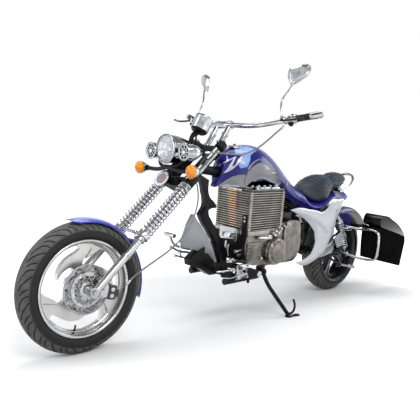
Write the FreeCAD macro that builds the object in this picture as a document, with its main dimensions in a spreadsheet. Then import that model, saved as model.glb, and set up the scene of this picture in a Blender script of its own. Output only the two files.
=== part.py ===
"""Raked chopper motorcycle leaning on its side stand, in millimetres.

X points forward, Y to the rider's left and Z up. The machine is drawn upright with the rear
tyre's lowest point at X = Y = 0; everything ahead of the steering head is drawn in the fork's
own frame (Z up the steering axis, X ahead of it). Both are then leaned on to the stand.
"""
import FreeCAD, Part
import math
import os
from FreeCAD import Placement, Rotation, Vector

doc = FreeCAD.newDocument("chopper")

# ---------------------------------------------------------------- driving sizes
SIZES = (  # alias, value in mm or degrees, what it is
    ("wheelbase", 1930, "rear axle to front axle"),
    ("lean_angle", 6, "lean to the left on the side stand"),
    ("rake_angle", 47, "steering axis from the vertical"),
    ("rest_steer", 3.5, "steering turned to the right at rest"),
    ("axle_ahead", 66, "front axle ahead of the steering axis"),
    ("leg_ahead", 55, "fork leg line ahead of the steering axis"),
    ("leg_spread", 100, "fork leg from the centre plane"),
    ("front_tyre_radius", 294, "front tyre, outside"),
    ("front_crown", 54, "front tyre, half width"),
    ("front_bead", 203, "front rim seat radius"),
    ("front_flange", 216.5, "front rim flange radius"),
    ("rear_tyre_radius", 274.5, "rear tyre, outside"),
    ("rear_crown", 72, "rear tyre, half width"),
    ("rear_bead", 190.5, "rear rim seat radius"),
    ("rear_flange", 203, "rear rim flange radius"),
    ("rim_wall", 9, "rim barrel thickness"),
    ("axle_radius", 9, "both wheel axles"),
    ("bearing_gap", 0.05, "radial clearance of turning fits"),
    ("face_gap", 0.5, "end clearance beside hubs and bosses"),
    ("hub_radius", 30, "wheel hub barrel"),
    ("front_hub_half", 56, "front hub, half length"),
    ("rear_hub_half", 70, "rear hub, half length"),
    ("disc_thickness", 4.5, "brake discs"),
    ("front_disc_radius", 112, "front brake disc"),
    ("rear_disc_radius", 110, "rear brake disc"),
    ("slider_radius", 18.5, "fork lower leg"),
    ("lug_half", 22, "axle lug on each lower leg, half width"),
    ("collar_radius", 31, "collar under each fork spring"),
    ("collar_up", 326, "collar's lower face above the axle line"),
    ("collar_height", 26, "collar"),
    ("tube_radius", 17, "fork upper tube"),
    ("spring_radius", 32, "fork spring, outside"),
    ("spring_wire", 7, "fork spring wire"),
    ("spring_length", 306, "fork spring"),
    ("lower_clamp_up", 672, "lower clamp's underside"),
    ("lower_clamp_height", 62, "lower clamp"),
    ("upper_clamp_up", 935, "upper clamp's underside"),
    ("upper_clamp_height", 32, "upper clamp"),
    ("stem_radius", 14, "steering stem"),
    ("head_radius", 29, "steering head tube, outside"),
    ("riser_spread", 45, "handlebar riser from the centre plane"),
    ("riser_radius", 14.5, "handlebar riser"),
    ("bar_radius", 12.7, "handlebar"),
    ("bar_bore", 9.7, "bore in each end of the handlebar"),
    ("bar_bore_length", 40, "depth of that bore"),
    ("grip_radius", 17, "handlebar grip"),
    ("bar_half", 500, "handlebar end from the centre plane"),
    ("engine_setback", 1054, "cylinder block's centre behind the front axle"),
    ("block_length", 288, "cylinder block, front to back"),
    ("block_half", 130, "cylinder block, half width"),
    ("block_back", 15, "cylinder block's middle behind the engine's"),
    ("block_low", 470, "cylinder block's underside"),
    ("block_high", 712, "cylinder block's top"),
    ("head_height", 14, "cylinder head plate"),
    ("part_gap", 1, "air between parts bolted side by side"),
    ("rail_radius", 17, "lower frame rail"),
    ("rail_spread", 130, "lower frame rail from the centre plane"),
    ("rail_height", 242, "lower frame rail's centre height"),
    ("tube_frame", 19, "upper frame tubes"),
    ("backbone_radius", 24, "frame backbone"),
    ("seat_rail_spread", 62, "seat rails from the centre plane"),
    ("panel_spread", 164, "side panel's inner face from the centre plane"),
    ("panel_thickness", 7, "side panel"),
    ("mudguard_gap", 12, "front mudguard's inside clear of the tyre"),
    ("fender_gap", 25.5, "rear fender's inside clear of the tyre"),
    ("fender_half", 108, "rear fender, half width"),
    ("sheet", 4, "mudguard sheet"),
    ("bag_inner", 222, "saddlebag's inner face from the centre plane"),
    ("bag_outer", 345, "saddlebag's outer face from the centre plane"),
    ("bag_wall", 6, "saddlebag wall"),
    ("stand_spread", 158, "side stand pivot from the centre plane"),
    ("stand_radius", 11, "side stand leg"),
    ("stand_reach", 285, "side stand foot from the centre plane"),
    ("stand_back", 102, "side stand foot behind its pivot"),
)

sizes = doc.addObject("Spreadsheet::Sheet", "sizes")
for row, (alias, value, what) in enumerate(SIZES, start=1):
    sizes.set(f"A{row}", alias)
    sizes.set(f"B{row}", str(value))
    sizes.setAlias(f"B{row}", alias)
    sizes.set(f"C{row}", what)
doc.recompute()


def mm(alias):
    """A driving size, as a number."""
    return float(sizes.get(alias))


# ---------------------------------------------------------------- frames of reference
rake = math.radians(mm("rake_angle"))
UP_FORK = Vector(-math.sin(rake), 0, math.cos(rake))
AHEAD = Vector(math.cos(rake), 0, math.sin(rake))
front_axle = Vector(mm("wheelbase"), 0, mm("front_tyre_radius"))
rear_axle = Vector(0, 0, mm("rear_tyre_radius"))
ENGINE_X = mm("wheelbase") - mm("engine_setback")

FORK = Placement(front_axle - AHEAD * mm("axle_ahead"), Rotation(Vector(0, 1, 0), -mm("rake_angle")))
STEER = Placement(Vector(), Rotation(Vector(0, 0, 1), -mm("rest_steer")))
FORWARD = Vector(math.cos(rake), 0, -math.sin(rake))  # the machine's X in the fork's frame
SKY = Vector(math.sin(rake), 0, math.cos(rake))  # the machine's Z in the fork's frame
Y_AXIS = Vector(0, 1, 0)
Z_AXIS = Vector(0, 0, 1)


def tyre_depth(place, centre, axis, ring, crown):
    """Height of a round-crowned tyre's lowest point."""
    middle = place.multVec(centre)
    tilt = place.Rotation.multVec(axis)
    return middle.z - ring * math.sqrt(1 - tilt.z**2) - crown


def standing():
    """Placement that leans the machine with both tyres on the ground."""
    place = Placement(Vector(), Rotation(Vector(1, 0, 0), -mm("lean_angle")))
    steered_axle = FORK.multiply(STEER).multVec(Vector(mm("axle_ahead"), 0, 0))
    steered_axis = FORK.multiply(STEER).Rotation.multVec(Y_AXIS)
    for _ in range(4):
        ring = mm("rear_tyre_radius") - mm("rear_crown")
        back = tyre_depth(place, rear_axle, Y_AXIS, ring, mm("rear_crown"))
        ring = mm("front_tyre_radius") - mm("front_crown")
        front = tyre_depth(place, steered_axle, steered_axis, ring, mm("front_crown"))
        pitch = math.degrees(math.atan2(front - back, mm("wheelbase")))
        tip = Placement(Vector(), Rotation(Y_AXIS, pitch))
        place = Placement(Vector(0, 0, -back), Rotation()).multiply(tip.multiply(place))
    return place


STANDING = standing()


def ground_under(x, y):
    """Point of the ground plane in the upright frame, at the given x and y."""
    top = STANDING.multVec(Vector(x, y, 100))
    low = STANDING.multVec(Vector(x, y, 0))
    return Vector(x, y, 100 * -low.z / (top.z - low.z))


# ---------------------------------------------------------------- how pieces are made
pieces = {}  # node name: (document object, placement it gets)


def keep(node, item, frame, centre=None):
    """Registers a piece as a node of the chassis or of the steered assembly."""
    whole = bundle(node + "_node", [item])
    whole.Label = node
    place = STANDING if frame == "chassis" else STANDING.multiply(FORK.multiply(STEER))
    if centre is not None:
        place = place.multiply(Placement(centre, Rotation()))
    pieces[node] = (whole, place)


def bind(item, **cells):
    """Ties properties to spreadsheet cells."""
    for prop, cell in cells.items():
        item.setExpression(prop, cell)
    return item


def towards(axis):
    """Rotation that turns Z on to an axis."""
    return Rotation(Z_AXIS, axis)


def rod(name, foot, axis, radius, length):
    """Part::Cylinder from its foot along an axis; sizes are sheet expressions or plain mm."""
    item = doc.addObject("Part::Cylinder", name)
    bind(item, Radius=f"{radius}", Height=f"{length}")
    item.Placement = Placement(foot, towards(axis))
    return item


def block(name, low, high):
    """Part::Box between two corners."""
    item = doc.addObject("Part::Box", name)
    item.Length = high.x - low.x
    item.Width = high.y - low.y
    item.Height = high.z - low.z
    item.Placement = Placement(low, Rotation())
    return item


def solid(name, shape):
    """Part::Feature round a shape made by Part's functions."""
    item = doc.addObject("Part::Feature", name)
    item.Shape = shape
    return item


def in_turn(kind, name, base, tools):
    """Boolean of each tool in turn; the last one has the name."""
    item = base
    for left_over, tool in zip(range(len(tools) - 1, -1, -1), tools):
        step = doc.addObject(kind, f"{name}_{left_over}" if left_over else name)
        step.Base = item
        step.Tool = tool
        item = step
    return item


def joined(name, items):
    """Part::Fuse of touching pieces."""
    return in_turn("Part::Fuse", name, items[0], items[1:])


def less(name, base, tools):
    """Part::Cut of the tools."""
    return in_turn("Part::Cut", name, base, tools)


def twin(name, item):
    """A piece's twin on the other side of the centre plane."""
    copy = doc.addObject("Part::Mirroring", name)
    copy.Source = item
    copy.Base = Vector()
    copy.Normal = Y_AXIS
    return copy


def bundle(name, items):
    """Part::Compound of pieces that stay apart."""
    item = doc.addObject("Part::Compound", name)
    item.Links = items
    return item


def rounded_path(points, share=0.45):
    """Wire of straight runs joined by tangent arcs as large as the runs allow."""
    edges = []
    here = points[0]
    for before, corner, after in zip(points, points[1:], points[2:]):
        back = (before - corner).normalize()
        on = (after - corner).normalize()
        short = min((before - corner).Length, (after - corner).Length)
        trim = share * short
        start = corner + back * trim
        end = corner + on * trim
        half_turn = (math.pi - back.getAngle(on)) / 2
        radius = trim / math.tan(half_turn)
        inward = (back + on).normalize()
        centre_distance = math.hypot(trim, radius)
        middle = corner + inward * (centre_distance - radius)
        edges.append(Part.LineSegment(here, start).toShape())
        edges.append(Part.Arc(start, middle, end).toShape())
        here = end
    edges.append(Part.LineSegment(here, points[-1]).toShape())
    return Part.Wire(edges)


def pipe(points, radius, share=0.45):
    """Round tube shape along a rounded path."""
    path = rounded_path(points, share)
    circle = Part.Circle(points[0], points[1] - points[0], radius).toShape()
    return path.makePipeShell([Part.Wire([circle])], True, True)


def plane_of(body, role):
    """One of a body's own origin planes."""
    return next(item for item in body.Origin.OriginFeatures if item.Role == role)


def axis_of(body, role):
    """One of a body's own origin axes."""
    return next(item for item in body.Origin.OriginFeatures if item.Role == role)


def draw(sketch, outline):
    """Closed outline of (x, y) or (x, y, bulge) points; a bulge makes an arc to the next."""
    for here, there in zip(outline, outline[1:] + outline[:1]):
        start = Vector(here[0], here[1], 0)
        end = Vector(there[0], there[1], 0)
        if len(here) == 2:
            sketch.addGeometry(Part.LineSegment(start, end), False)
            continue
        across = (end - start) * (here[2] / 2)
        middle = (start + end) / 2 + Vector(across.y, -across.x, 0)
        sketch.addGeometry(Part.Arc(start, middle, end), False)


def sketch_on(body, name, role, outline, offset=0):
    """Sketch on one of a body's origin planes."""
    sketch = body.newObject("Sketcher::SketchObject", name)
    sketch.AttachmentSupport = [(plane_of(body, role), "")]
    sketch.MapMode = "FlatFace"
    sketch.AttachmentOffset = Placement(Vector(0, 0, offset), Rotation())
    draw(sketch, outline)
    return sketch


def turned(name, outline, angle=None):
    """Body revolved about Y from an outline of (y, radius) points."""
    body = doc.addObject("PartDesign::Body", name)
    sketch = sketch_on(body, name + "_profile", "YZ_Plane", outline)
    turn = body.newObject("PartDesign::Revolution", name + "_turn")
    turn.Profile = sketch
    turn.ReferenceAxis = (sketch, ["H_Axis"])
    turn.Angle = 360 if angle is None else angle
    sketch.Visibility = False
    return body


def padded(name, outline, depth, y=0):
    """Body padded from an XZ outline, centred on the plane at y; depth is an expression."""
    body = doc.addObject("PartDesign::Body", name)
    sketch = sketch_on(body, name + "_outline", "XZ_Plane", outline, -y)
    pad = body.newObject("PartDesign::Pad", name + "_pad")
    pad.Profile = sketch
    pad.Midplane = True
    bind(pad, Length=depth)
    return body


def ring_of(body, base, name, occurrences):
    """Polar pattern of a feature about the body's Y axis."""
    pattern = body.newObject("PartDesign::PolarPattern", name)
    pattern.Originals = [base]
    pattern.Axis = (axis_of(body, "Y_Axis"), [""])
    pattern.Angle = 360
    pattern.Occurrences = occurrences
    body.Tip = pattern
    return pattern


def lofted(name, stations, section):
    """Body lofted along X through closed sections; each station starts with its x."""
    body = doc.addObject("PartDesign::Body", name)
    sketches = []
    for index, station in enumerate(stations):
        outline = section(*station[1:])
        sketches.append(sketch_on(body, f"{name}_{index}", "YZ_Plane", outline, station[0]))
    loft = body.newObject("PartDesign::AdditiveLoft", name + "_loft")
    loft.Profile = sketches[0]
    loft.Sections = sketches[1:]
    loft.Ruled = False
    return body


# ---------------------------------------------------------------- wheels
def polar(radius, degrees, *bulge):
    """Outline point of the wheel's plane at a radius and angle."""
    turn = math.radians(degrees)
    return (radius * math.cos(turn), radius * math.sin(turn), *bulge)


def tyre(name, radius, crown, bead, flange, bead_half):
    """Round-crowned tyre about Y, seated between the rim flanges."""
    shoulder = radius - crown
    outline = [
        (-bead_half, bead),
        (-bead_half, flange + 1),
        (-crown, shoulder, -1),
        (crown, shoulder),
        (bead_half, flange + 1),
        (bead_half, bead),
    ]
    return turned(name, outline)


def rim(name, side, bead_half, hub_half, blade, blades, depth):
    """Cast wheel about Y: barrel with flanges, hub with a running bore, and spoke blades."""
    bead, flange, wall = mm(side + "_bead"), mm(side + "_flange"), mm("rim_wall")
    lip = bead_half + 5
    barrel = [
        (-lip, flange),
        (-bead_half, flange),
        (-bead_half, bead),
        (bead_half, bead),
        (bead_half, flange),
        (lip, flange),
        (lip, bead - wall),
        (-lip, bead - wall),
    ]
    body = turned(name, barrel)
    hub = sketch_on(
        body,
        name + "_hub",
        "YZ_Plane",
        [
            (-hub_half, 0),
            (-hub_half, mm("hub_radius")),
            (hub_half, mm("hub_radius")),
            (hub_half, 0),
        ],
    )
    spokes = sketch_on(body, name + "_blade", "XZ_Plane", blade)
    pad = body.newObject("PartDesign::Pad", name + "_spoke")
    pad.Profile = spokes
    pad.Midplane = True
    pad.Length = depth
    ring_of(body, pad, name + "_spokes", blades)
    turn = body.newObject("PartDesign::Revolution", name + "_hub_turn")
    turn.Profile = hub
    turn.ReferenceAxis = (hub, ["H_Axis"])
    bore = sketch_on(
        body,
        name + "_bore",
        "YZ_Plane",
        [
            (-hub_half - 1, 0),
            (-hub_half - 1, mm("axle_radius") + mm("bearing_gap")),
            (hub_half + 1, mm("axle_radius") + mm("bearing_gap")),
            (hub_half + 1, 0),
        ],
    )
    groove = body.newObject("PartDesign::Groove", name + "_bore_turn")
    groove.Profile = bore
    groove.ReferenceAxis = (bore, ["H_Axis"])
    body.Tip = groove
    return body


def disc(name, outer, inner, y):
    """Flat ring about Y with its inboard face at y."""
    thick = mm("disc_thickness")
    return turned(name, [(y, inner), (y + thick, inner), (y + thick, outer), (y, outer)])


AXLE_IN_FORK = Vector(mm("axle_ahead"), 0, 0)
swirl_root = mm("front_bead") - mm("rim_wall") + 2
swirl = [
    polar(mm("hub_radius") - 4, -35, 0.25),
    polar(swirl_root, -12, 0.17),
    polar(swirl_root, 30, -0.3),
    polar(150, 12, -0.45),
    polar(112, 33, 0.1),
    polar(mm("hub_radius") - 4, 60),
]
FRONT_BEAD_HALF = 40
REAR_BEAD_HALF = 60
keep(
    "front_tyre",
    tyre(
        "front_tyre",
        mm("front_tyre_radius"),
        mm("front_crown"),
        mm("front_bead"),
        mm("front_flange"),
        FRONT_BEAD_HALF,
    ),
    "fork",
    AXLE_IN_FORK,
)
keep(
    "front_rim",
    rim("front_rim", "front", FRONT_BEAD_HALF, mm("front_hub_half"), swirl, 3, 30),
    "fork",
    AXLE_IN_FORK,
)
keep(
    "front_disc",
    disc("front_disc", mm("front_disc_radius"), mm("hub_radius"), mm("front_hub_half") - 5),
    "fork",
    AXLE_IN_FORK,
)
rear_root = mm("rear_bead") - mm("rim_wall") + 2
paddle = [
    polar(mm("hub_radius") - 4, -30),
    polar(rear_root, -13, 0.12),
    polar(rear_root, 13),
    polar(mm("hub_radius") - 4, 30),
]
keep(
    "rear_tyre",
    tyre(
        "rear_tyre",
        mm("rear_tyre_radius"),
        mm("rear_crown"),
        mm("rear_bead"),
        mm("rear_flange"),
        REAR_BEAD_HALF,
    ),
    "chassis",
    rear_axle,
)
keep(
    "rear_rim",
    rim("rear_rim", "rear", REAR_BEAD_HALF, mm("rear_hub_half"), paddle, 5, 40),
    "chassis",
    rear_axle,
)
keep(
    "rear_disc",
    disc("rear_disc", mm("rear_disc_radius"), mm("hub_radius"), -mm("rear_hub_half") + 3),
    "chassis",
    rear_axle,
)


# ---------------------------------------------------------------- fork and steering
SIDES = (("left", 1), ("right", -1))


def leg(y, up):
    """Point of a fork leg's line, in the fork's frame."""
    return Vector(mm("leg_ahead"), y, up)


def front_axle_piece():
    """Axle with a spacer between the hub and each leg."""
    reach = mm("leg_spread") + mm("lug_half")
    width = "2 * (sizes.leg_spread + sizes.lug_half)"
    start = AXLE_IN_FORK - Y_AXIS * reach
    spindle = rod("front_spindle", start, Y_AXIS, "sizes.axle_radius", width)
    spacers = []
    for name, side in SIDES:
        foot = AXLE_IN_FORK + Y_AXIS * side * (mm("front_hub_half") + mm("face_gap"))
        room = "sizes.leg_spread - sizes.lug_half - sizes.front_hub_half - sizes.face_gap"
        spacers.append(rod(f"spacer_{name}", foot, Y_AXIS * side, "sizes.axle_radius + 6", room))
    return joined("front_axle", [spindle, *spacers])


def fork_sliders():
    """Lower legs with their collars and axle lugs."""
    legs = []
    for name, side in SIDES:
        y = side * mm("leg_spread")
        tube = rod(f"slider_{name}", leg(y, 0), Z_AXIS, "sizes.slider_radius", "sizes.collar_up")
        collar = rod(
            f"collar_{name}",
            leg(y, mm("collar_up")),
            Z_AXIS,
            "sizes.collar_radius",
            "sizes.collar_height",
        )
        foot = AXLE_IN_FORK + Y_AXIS * (y - mm("lug_half"))
        lug = rod(f"lug_{name}", foot, Y_AXIS, "sizes.lug_half - 1", "2 * sizes.lug_half")
        body = joined(f"leg_{name}", [tube, collar, lug])
        start = foot - Y_AXIS
        bore = rod(f"lug_bore_{name}", start, Y_AXIS, "sizes.axle_radius", "2 * sizes.lug_half + 2")
        legs.append(less(f"lower_leg_{name}", body, [bore]))
    middle = mm("collar_up") + mm("collar_height") / 2
    arch_over = [
        leg(-mm("leg_spread"), middle),
        Vector(mm("leg_ahead") + 8, -60, middle + 4),
        Vector(mm("leg_ahead") + 8, 60, middle + 4),
        leg(mm("leg_spread"), middle),
    ]
    brace = solid("fork_brace_bar", pipe(arch_over, 8))
    tubes = [rod(f"brace_space_{name}", leg(sign * mm("leg_spread"), 0), Z_AXIS, "sizes.slider_radius", "400")
             for name, sign in SIDES]
    return joined("fork_legs", [*legs, less("fork_brace", brace, tubes)])


def fork_tubes():
    """Upper tubes with the spring seat ring."""
    foot = mm("collar_up") + mm("collar_height")
    tubes = []
    for name, side in SIDES:
        y = side * mm("leg_spread")
        reach = mm("upper_clamp_up") + mm("upper_clamp_height") + 8 - foot
        tube = rod(f"tube_{name}", leg(y, foot), Z_AXIS, "sizes.tube_radius", reach)
        seat = rod(
            f"seat_{name}",
            leg(y, foot + mm("spring_length")),
            Z_AXIS,
            "sizes.spring_radius - 2",
            "8",
        )
        tubes.append(joined(f"upper_leg_{name}", [tube, seat]))
    return bundle("fork_tubes", tubes)


def fork_springs():
    """Sleeve of each coil spring's outer shape."""
    sleeves = []
    for name, side in SIDES:
        foot = leg(side * mm("leg_spread"), mm("collar_up") + mm("collar_height"))
        outer = rod(f"coil_{name}", foot, Z_AXIS, "sizes.spring_radius", "sizes.spring_length")
        inner = rod(
            f"coil_bore_{name}",
            foot - Z_AXIS,
            Z_AXIS,
            "sizes.spring_radius - sizes.spring_wire",
            "sizes.spring_length + 2",
        )
        sleeves.append(less(f"spring_{name}", outer, [inner]))
    return bundle("fork_springs", sleeves)


def clamp(name, up, height, stem_from, stem_to):
    """Triple clamp: a plate through both legs and the steering stem."""
    eye = mm("tube_radius") + 12
    back = mm("stem_radius") + 13
    ahead, spread = mm("leg_ahead"), mm("leg_spread")
    body = doc.addObject("PartDesign::Body", name)
    outline = [
        (-back, -24, -0.3),
        (-back, 24),
        (ahead - eye * 0.8, spread + eye * 0.6, -1),
        (ahead + eye * 0.8, spread - eye * 0.3),
        (ahead * 0.75, 40),
        (ahead * 0.75, -40),
        (ahead + eye * 0.8, -spread + eye * 0.3, -1),
        (ahead - eye * 0.8, -spread - eye * 0.6),
    ]
    sketch = sketch_on(body, name + "_outline", "XY_Plane", outline, up)
    pad = body.newObject("PartDesign::Pad", name + "_pad")
    pad.Profile = sketch
    bind(pad, Length=f"sizes.{height}")
    through = f"sizes.{height} + 2"
    bores = [
        rod(f"{name}_bore_{side}", leg(sign * spread, up - 1), Z_AXIS, "sizes.tube_radius", through)
        for side, sign in SIDES
    ]
    plate = less(name + "_plate", body, bores)
    if stem_from == stem_to:
        return plate
    foot = Vector(0, 0, stem_from)
    stem = rod(name + "_stem", foot, Z_AXIS, "sizes.stem_radius", stem_to - stem_from)
    return joined(name + "_whole", [plate, stem])


CLAMP_TOP = mm("upper_clamp_up") + mm("upper_clamp_height")
keep("front_axle", front_axle_piece(), "fork")
keep("fork_sliders", fork_sliders(), "fork")
keep("fork_tubes", fork_tubes(), "fork")
keep("fork_springs", fork_springs(), "fork")
keep(
    "lower_clamp",
    clamp(
        "lower_clamp",
        mm("lower_clamp_up"),
        "lower_clamp_height",
        mm("lower_clamp_up"),
        mm("upper_clamp_up"),
    ),
    "fork",
)
keep("upper_clamp", clamp("upper_clamp", mm("upper_clamp_up"), "upper_clamp_height", 0, 0), "fork")


# ---------------------------------------------------------------- handlebar and its controls
BAR_CENTRE = Vector(58, 60, 1108)
BAR_BEND = Vector(44, 200, 1117)
BAR_END = Vector(-14, mm("bar_half"), 1274)
BAR_RUN = (BAR_END - BAR_BEND).normalize()
GRIP_LENGTH = 125
SWITCH_LENGTH = 42
LEVER_CLAMP = 20


def other_side(point):
    """A point's twin across the centre plane."""
    return Vector(point.x, -point.y, point.z)


def both_sides(name, make):
    """Pair of like pieces; make gets the side's name and a function that places a point."""
    return bundle(name, [make("left", lambda point: point), make("right", other_side)])


def handlebar():
    """Bar bent back and up to the grips."""
    half = [BAR_CENTRE, BAR_BEND, BAR_END]
    points = [other_side(point) for point in reversed(half)] + half
    bar = solid("bar_tube", pipe(points, mm("bar_radius")))
    length = "sizes.bar_bore_length"
    bores = [
        rod("bar_bore_left", BAR_END, -BAR_RUN, "sizes.bar_bore", length),
        rod("bar_bore_right", other_side(BAR_END), -other_side(BAR_RUN), "sizes.bar_bore", length),
    ]
    return less("handlebar_whole", bar, bores)


def on_bar(from_end):
    """Point of the bar's straight end, measured inwards."""
    return BAR_END - BAR_RUN * from_end


def sleeve(name, foot, axis, radius, length):
    """Short tube that fits round the bar."""
    outer = rod(name + "_outer", foot, axis, f"{radius}", f"{length}")
    bore = rod(name + "_bore", foot - axis, axis, "sizes.bar_radius", f"{length} + 2")
    return less(name, outer, [bore])


def grip(side, place):
    foot, run = place(on_bar(GRIP_LENGTH)), place(BAR_RUN)
    return sleeve(f"grip_{side}", foot, run, "sizes.grip_radius", GRIP_LENGTH)


def controls(side, place):
    """Switch housing and, beside it, the lever with its clamp."""
    run = place(BAR_RUN)
    foot = place(on_bar(GRIP_LENGTH + SWITCH_LENGTH))
    housing = sleeve(f"switch_{side}", foot, run, "sizes.grip_radius + 5", SWITCH_LENGTH)
    inner = GRIP_LENGTH + SWITCH_LENGTH + LEVER_CLAMP
    ring = sleeve(f"lever_clamp_{side}", place(on_bar(inner)), run, "sizes.grip_radius + 1", LEVER_CLAMP)
    root = on_bar(inner - LEVER_CLAMP / 2) + Vector(17, 0, -10)
    points = [
        place(root),
        place(root + Vector(24, 14, -38)),
        place(root + Vector(26, 70, -40)),
        place(root + Vector(14, 140, -12)),
    ]
    blade = solid(f"lever_blade_{side}", pipe(points, 5.5))
    return joined(f"controls_{side}", [housing, ring, blade])


def risers():
    """Two risers with the cap that clamps the bar."""
    foot = Vector(25, mm("riser_spread"), CLAMP_TOP)
    posts = []
    for side, sign in SIDES:
        base = Vector(foot.x, sign * foot.y, foot.z)
        top = Vector(BAR_CENTRE.x, sign * foot.y, BAR_CENTRE.z)
        run = top - base
        foot_in = base - run * 0.2
        posts.append(rod(f"riser_{side}", foot_in, run, "sizes.riser_radius", run.Length * 1.2))
    cap_foot = Vector(BAR_CENTRE.x, -mm("riser_spread") - 14, BAR_CENTRE.z)
    cap = rod("bar_cap", cap_foot, Y_AXIS, "sizes.bar_radius + 8", "2 * sizes.riser_spread + 28")
    below = block("riser_trim", Vector(-60, -90, CLAMP_TOP - 60), Vector(90, 90, CLAMP_TOP))
    whole = joined("risers_and_cap", [*posts, cap])
    return less("risers_whole", whole, [doc.getObject("bar_tube"), below])


MIRROR_CENTRE = Vector(137, 346, 1395)
MIRROR_TOE = 21
MIRROR_OUTLINE = [
    (-36, -54, 0.02),
    (14, -30, 0.06),
    (56, 2, 0.25),
    (60, 44, 0.3),
    (16, 48, 0.1),
    (-46, 32, 0.3),
    (-56, -4, 0.15),
]


def mirrors():
    """Mirrors on bent stalks, their flat heads turned in towards the rider."""
    points = [
        Vector(32, 322, 1196),
        Vector(60, 306, 1232),
        Vector(82, 298, 1276),
        Vector(104, 322, 1330),
        Vector(116, 326, 1356),
    ]
    stalk = solid("mirror_stalk", pipe(points, 5))
    head = doc.addObject("PartDesign::Body", "mirror_head")
    sketch = sketch_on(head, "mirror_outline", "YZ_Plane", MIRROR_OUTLINE)
    pad = head.newObject("PartDesign::Pad", "mirror_pad")
    pad.Profile = sketch
    pad.Midplane = True
    pad.Length = 20
    aim = Rotation(Y_AXIS, mm("rake_angle")).multiply(Rotation(Z_AXIS, MIRROR_TOE))
    head.Placement = Placement(MIRROR_CENTRE, aim)
    tools = [doc.getObject("controls_left"), doc.getObject("bar_tube")]
    clear = less("mirror_left", joined("mirror_parts", [stalk, head]), tools)
    return bundle("mirrors_whole", [clear, twin("mirror_right", clear)])


keep("handlebar", handlebar(), "fork")
keep("grips", both_sides("grips", grip), "fork")
keep("hand_controls", both_sides("hand_controls", controls), "fork")
keep("risers", risers(), "fork")
keep("mirrors", mirrors(), "fork")


# ---------------------------------------------------------------- lamps and gauge
def aimed(name, outline, centre, axis):
    """Piece revolved about Y from (along, radius) points, then aimed along an axis."""
    body = turned(name, outline)
    body.Placement = Placement(centre, Rotation(Y_AXIS, axis))
    return body


LAMP_CENTRE = Vector(219, 0, 739)
SPEAKER_CENTRE = Vector(204, 130, 738)
SIGNAL_CENTRE = Vector(147, 203, 671)


def headlight():
    """Bullet shell, open at the front for its lens."""
    shell = [(-168, 0), (-168, 12, 0.12), (-120, 52, 0.1), (-40, 68), (0, 72), (0, 67), (-6, 67), (-6, 0)]
    return aimed("headlight", shell, LAMP_CENTRE, FORWARD)


def headlight_lens():
    """Domed glass seated in the shell."""
    dome = [(-6, 0), (-6, 67), (0, 67, 0.12), (16, 6), (16, 0)]
    return aimed("headlight_lens", dome, LAMP_CENTRE, FORWARD)


def speaker(side, place):
    cup = [(-105, 0), (-105, 16, 0.15), (-60, 38), (0, 42), (0, 36), (-5, 36), (-5, 0)]
    return aimed(f"speaker_{side}", cup, place(SPEAKER_CENTRE), FORWARD)


def signal_cup(side, place):
    cup = [(-42, 0), (-42, 12, 0.2), (-8, 31), (-2, 31), (-2, 0)]
    return aimed(f"signal_cup_{side}", cup, place(SIGNAL_CENTRE), FORWARD)


SIGNAL_DOME = [(-2, 0), (-2, 31), (8, 32, 0.3), (26, 5), (26, 0)]


def signal_lens(side, place):
    return aimed(f"signal_lens_{side}", SIGNAL_DOME, place(SIGNAL_CENTRE), FORWARD)


def lens_space(side, place):
    """Room for a signal's lens in its cup."""
    return aimed(f"lens_space_{side}", SIGNAL_DOME, place(SIGNAL_CENTRE), FORWARD)


CARRIER_AHEAD = 90
CARRIER_HIGH = 900


def carrier_plate(name):
    """Upright plate between the fork legs that carries the lamps, gauge and wiring."""
    high = Vector(CARRIER_AHEAD + 6, 60, CARRIER_HIGH)
    return block(name, Vector(CARRIER_AHEAD, -60, mm("lower_clamp_up") + 10), high)


def lamp_bracket():
    """Black carrier from the lower clamp to the lamps, speakers and signals."""
    root = Vector(mm("leg_ahead") * 0.75 + 1, 0, mm("lower_clamp_up") + 30)
    arm = Vector(142, 0, 697)
    shell_in = LAMP_CENTRE - FORWARD * 56 - SKY * 24
    lamp_run = [Vector(108, 0, 699), Vector(122, 0, 728), shell_in]
    hub = rod("lamp_hub", root, arm - root, 12, (arm - root).Length)
    hose_box = block("hose_box", Vector(90, 60, 836), Vector(110, 112, 868))
    parts = [hub, solid("lamp_arm", pipe(lamp_run, 10)), carrier_plate("carrier"), hose_box]
    for side, place in (("left", lambda point: point), ("right", other_side)):
        lamp_back = place(SPEAKER_CENTRE) - FORWARD * 60
        speaker_run = [arm, place(Vector(144, 70, 709)), lamp_back]
        parts.append(solid(f"speaker_arm_{side}", pipe(speaker_run, 8)))
        cup_back = place(SIGNAL_CENTRE) - FORWARD * 30
        signal_run = [arm, place(Vector(128, 90, 688)), cup_back]
        parts.append(solid(f"signal_arm_{side}", pipe(signal_run, 9)))
        parts.append(signal_cup(side, place))
    around = [doc.getObject(name) for name in ("headlight", "speakers", "lower_clamp_plate")]
    lenses = both_sides("lens_spaces", lens_space)
    return less("lamp_bracket_whole", joined("lamp_carrier", parts), [*around, lenses])


def gauge():
    """Drum gauge tipped towards the rider on its stem."""
    tip = math.radians(17)
    axis = Vector(math.sin(tip), 0, math.cos(tip))
    centre = Vector(158, 0, 987)
    drum = [(-42, 0), (-42, 34, 0.15), (-28, 46), (30, 46), (36, 49), (42, 46), (42, 0)]
    body = aimed("gauge_drum", drum, centre, axis)
    foot = Vector(CARRIER_AHEAD + 6, 0, CARRIER_HIGH - 20)
    stem = solid("gauge_stem", pipe([foot, foot + Vector(40, 0, 0), centre - axis * 35], 8))
    return joined("gauge_parts", [body, stem])


keep("headlight", headlight(), "fork")
keep("headlight_lens", headlight_lens(), "fork")
keep("speakers", both_sides("speakers", speaker), "fork")
keep("signal_lenses", both_sides("signal_lenses", signal_lens), "fork")
keep("gauge", gauge(), "fork")
keep("lamp_bracket", lamp_bracket(), "fork")


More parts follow.
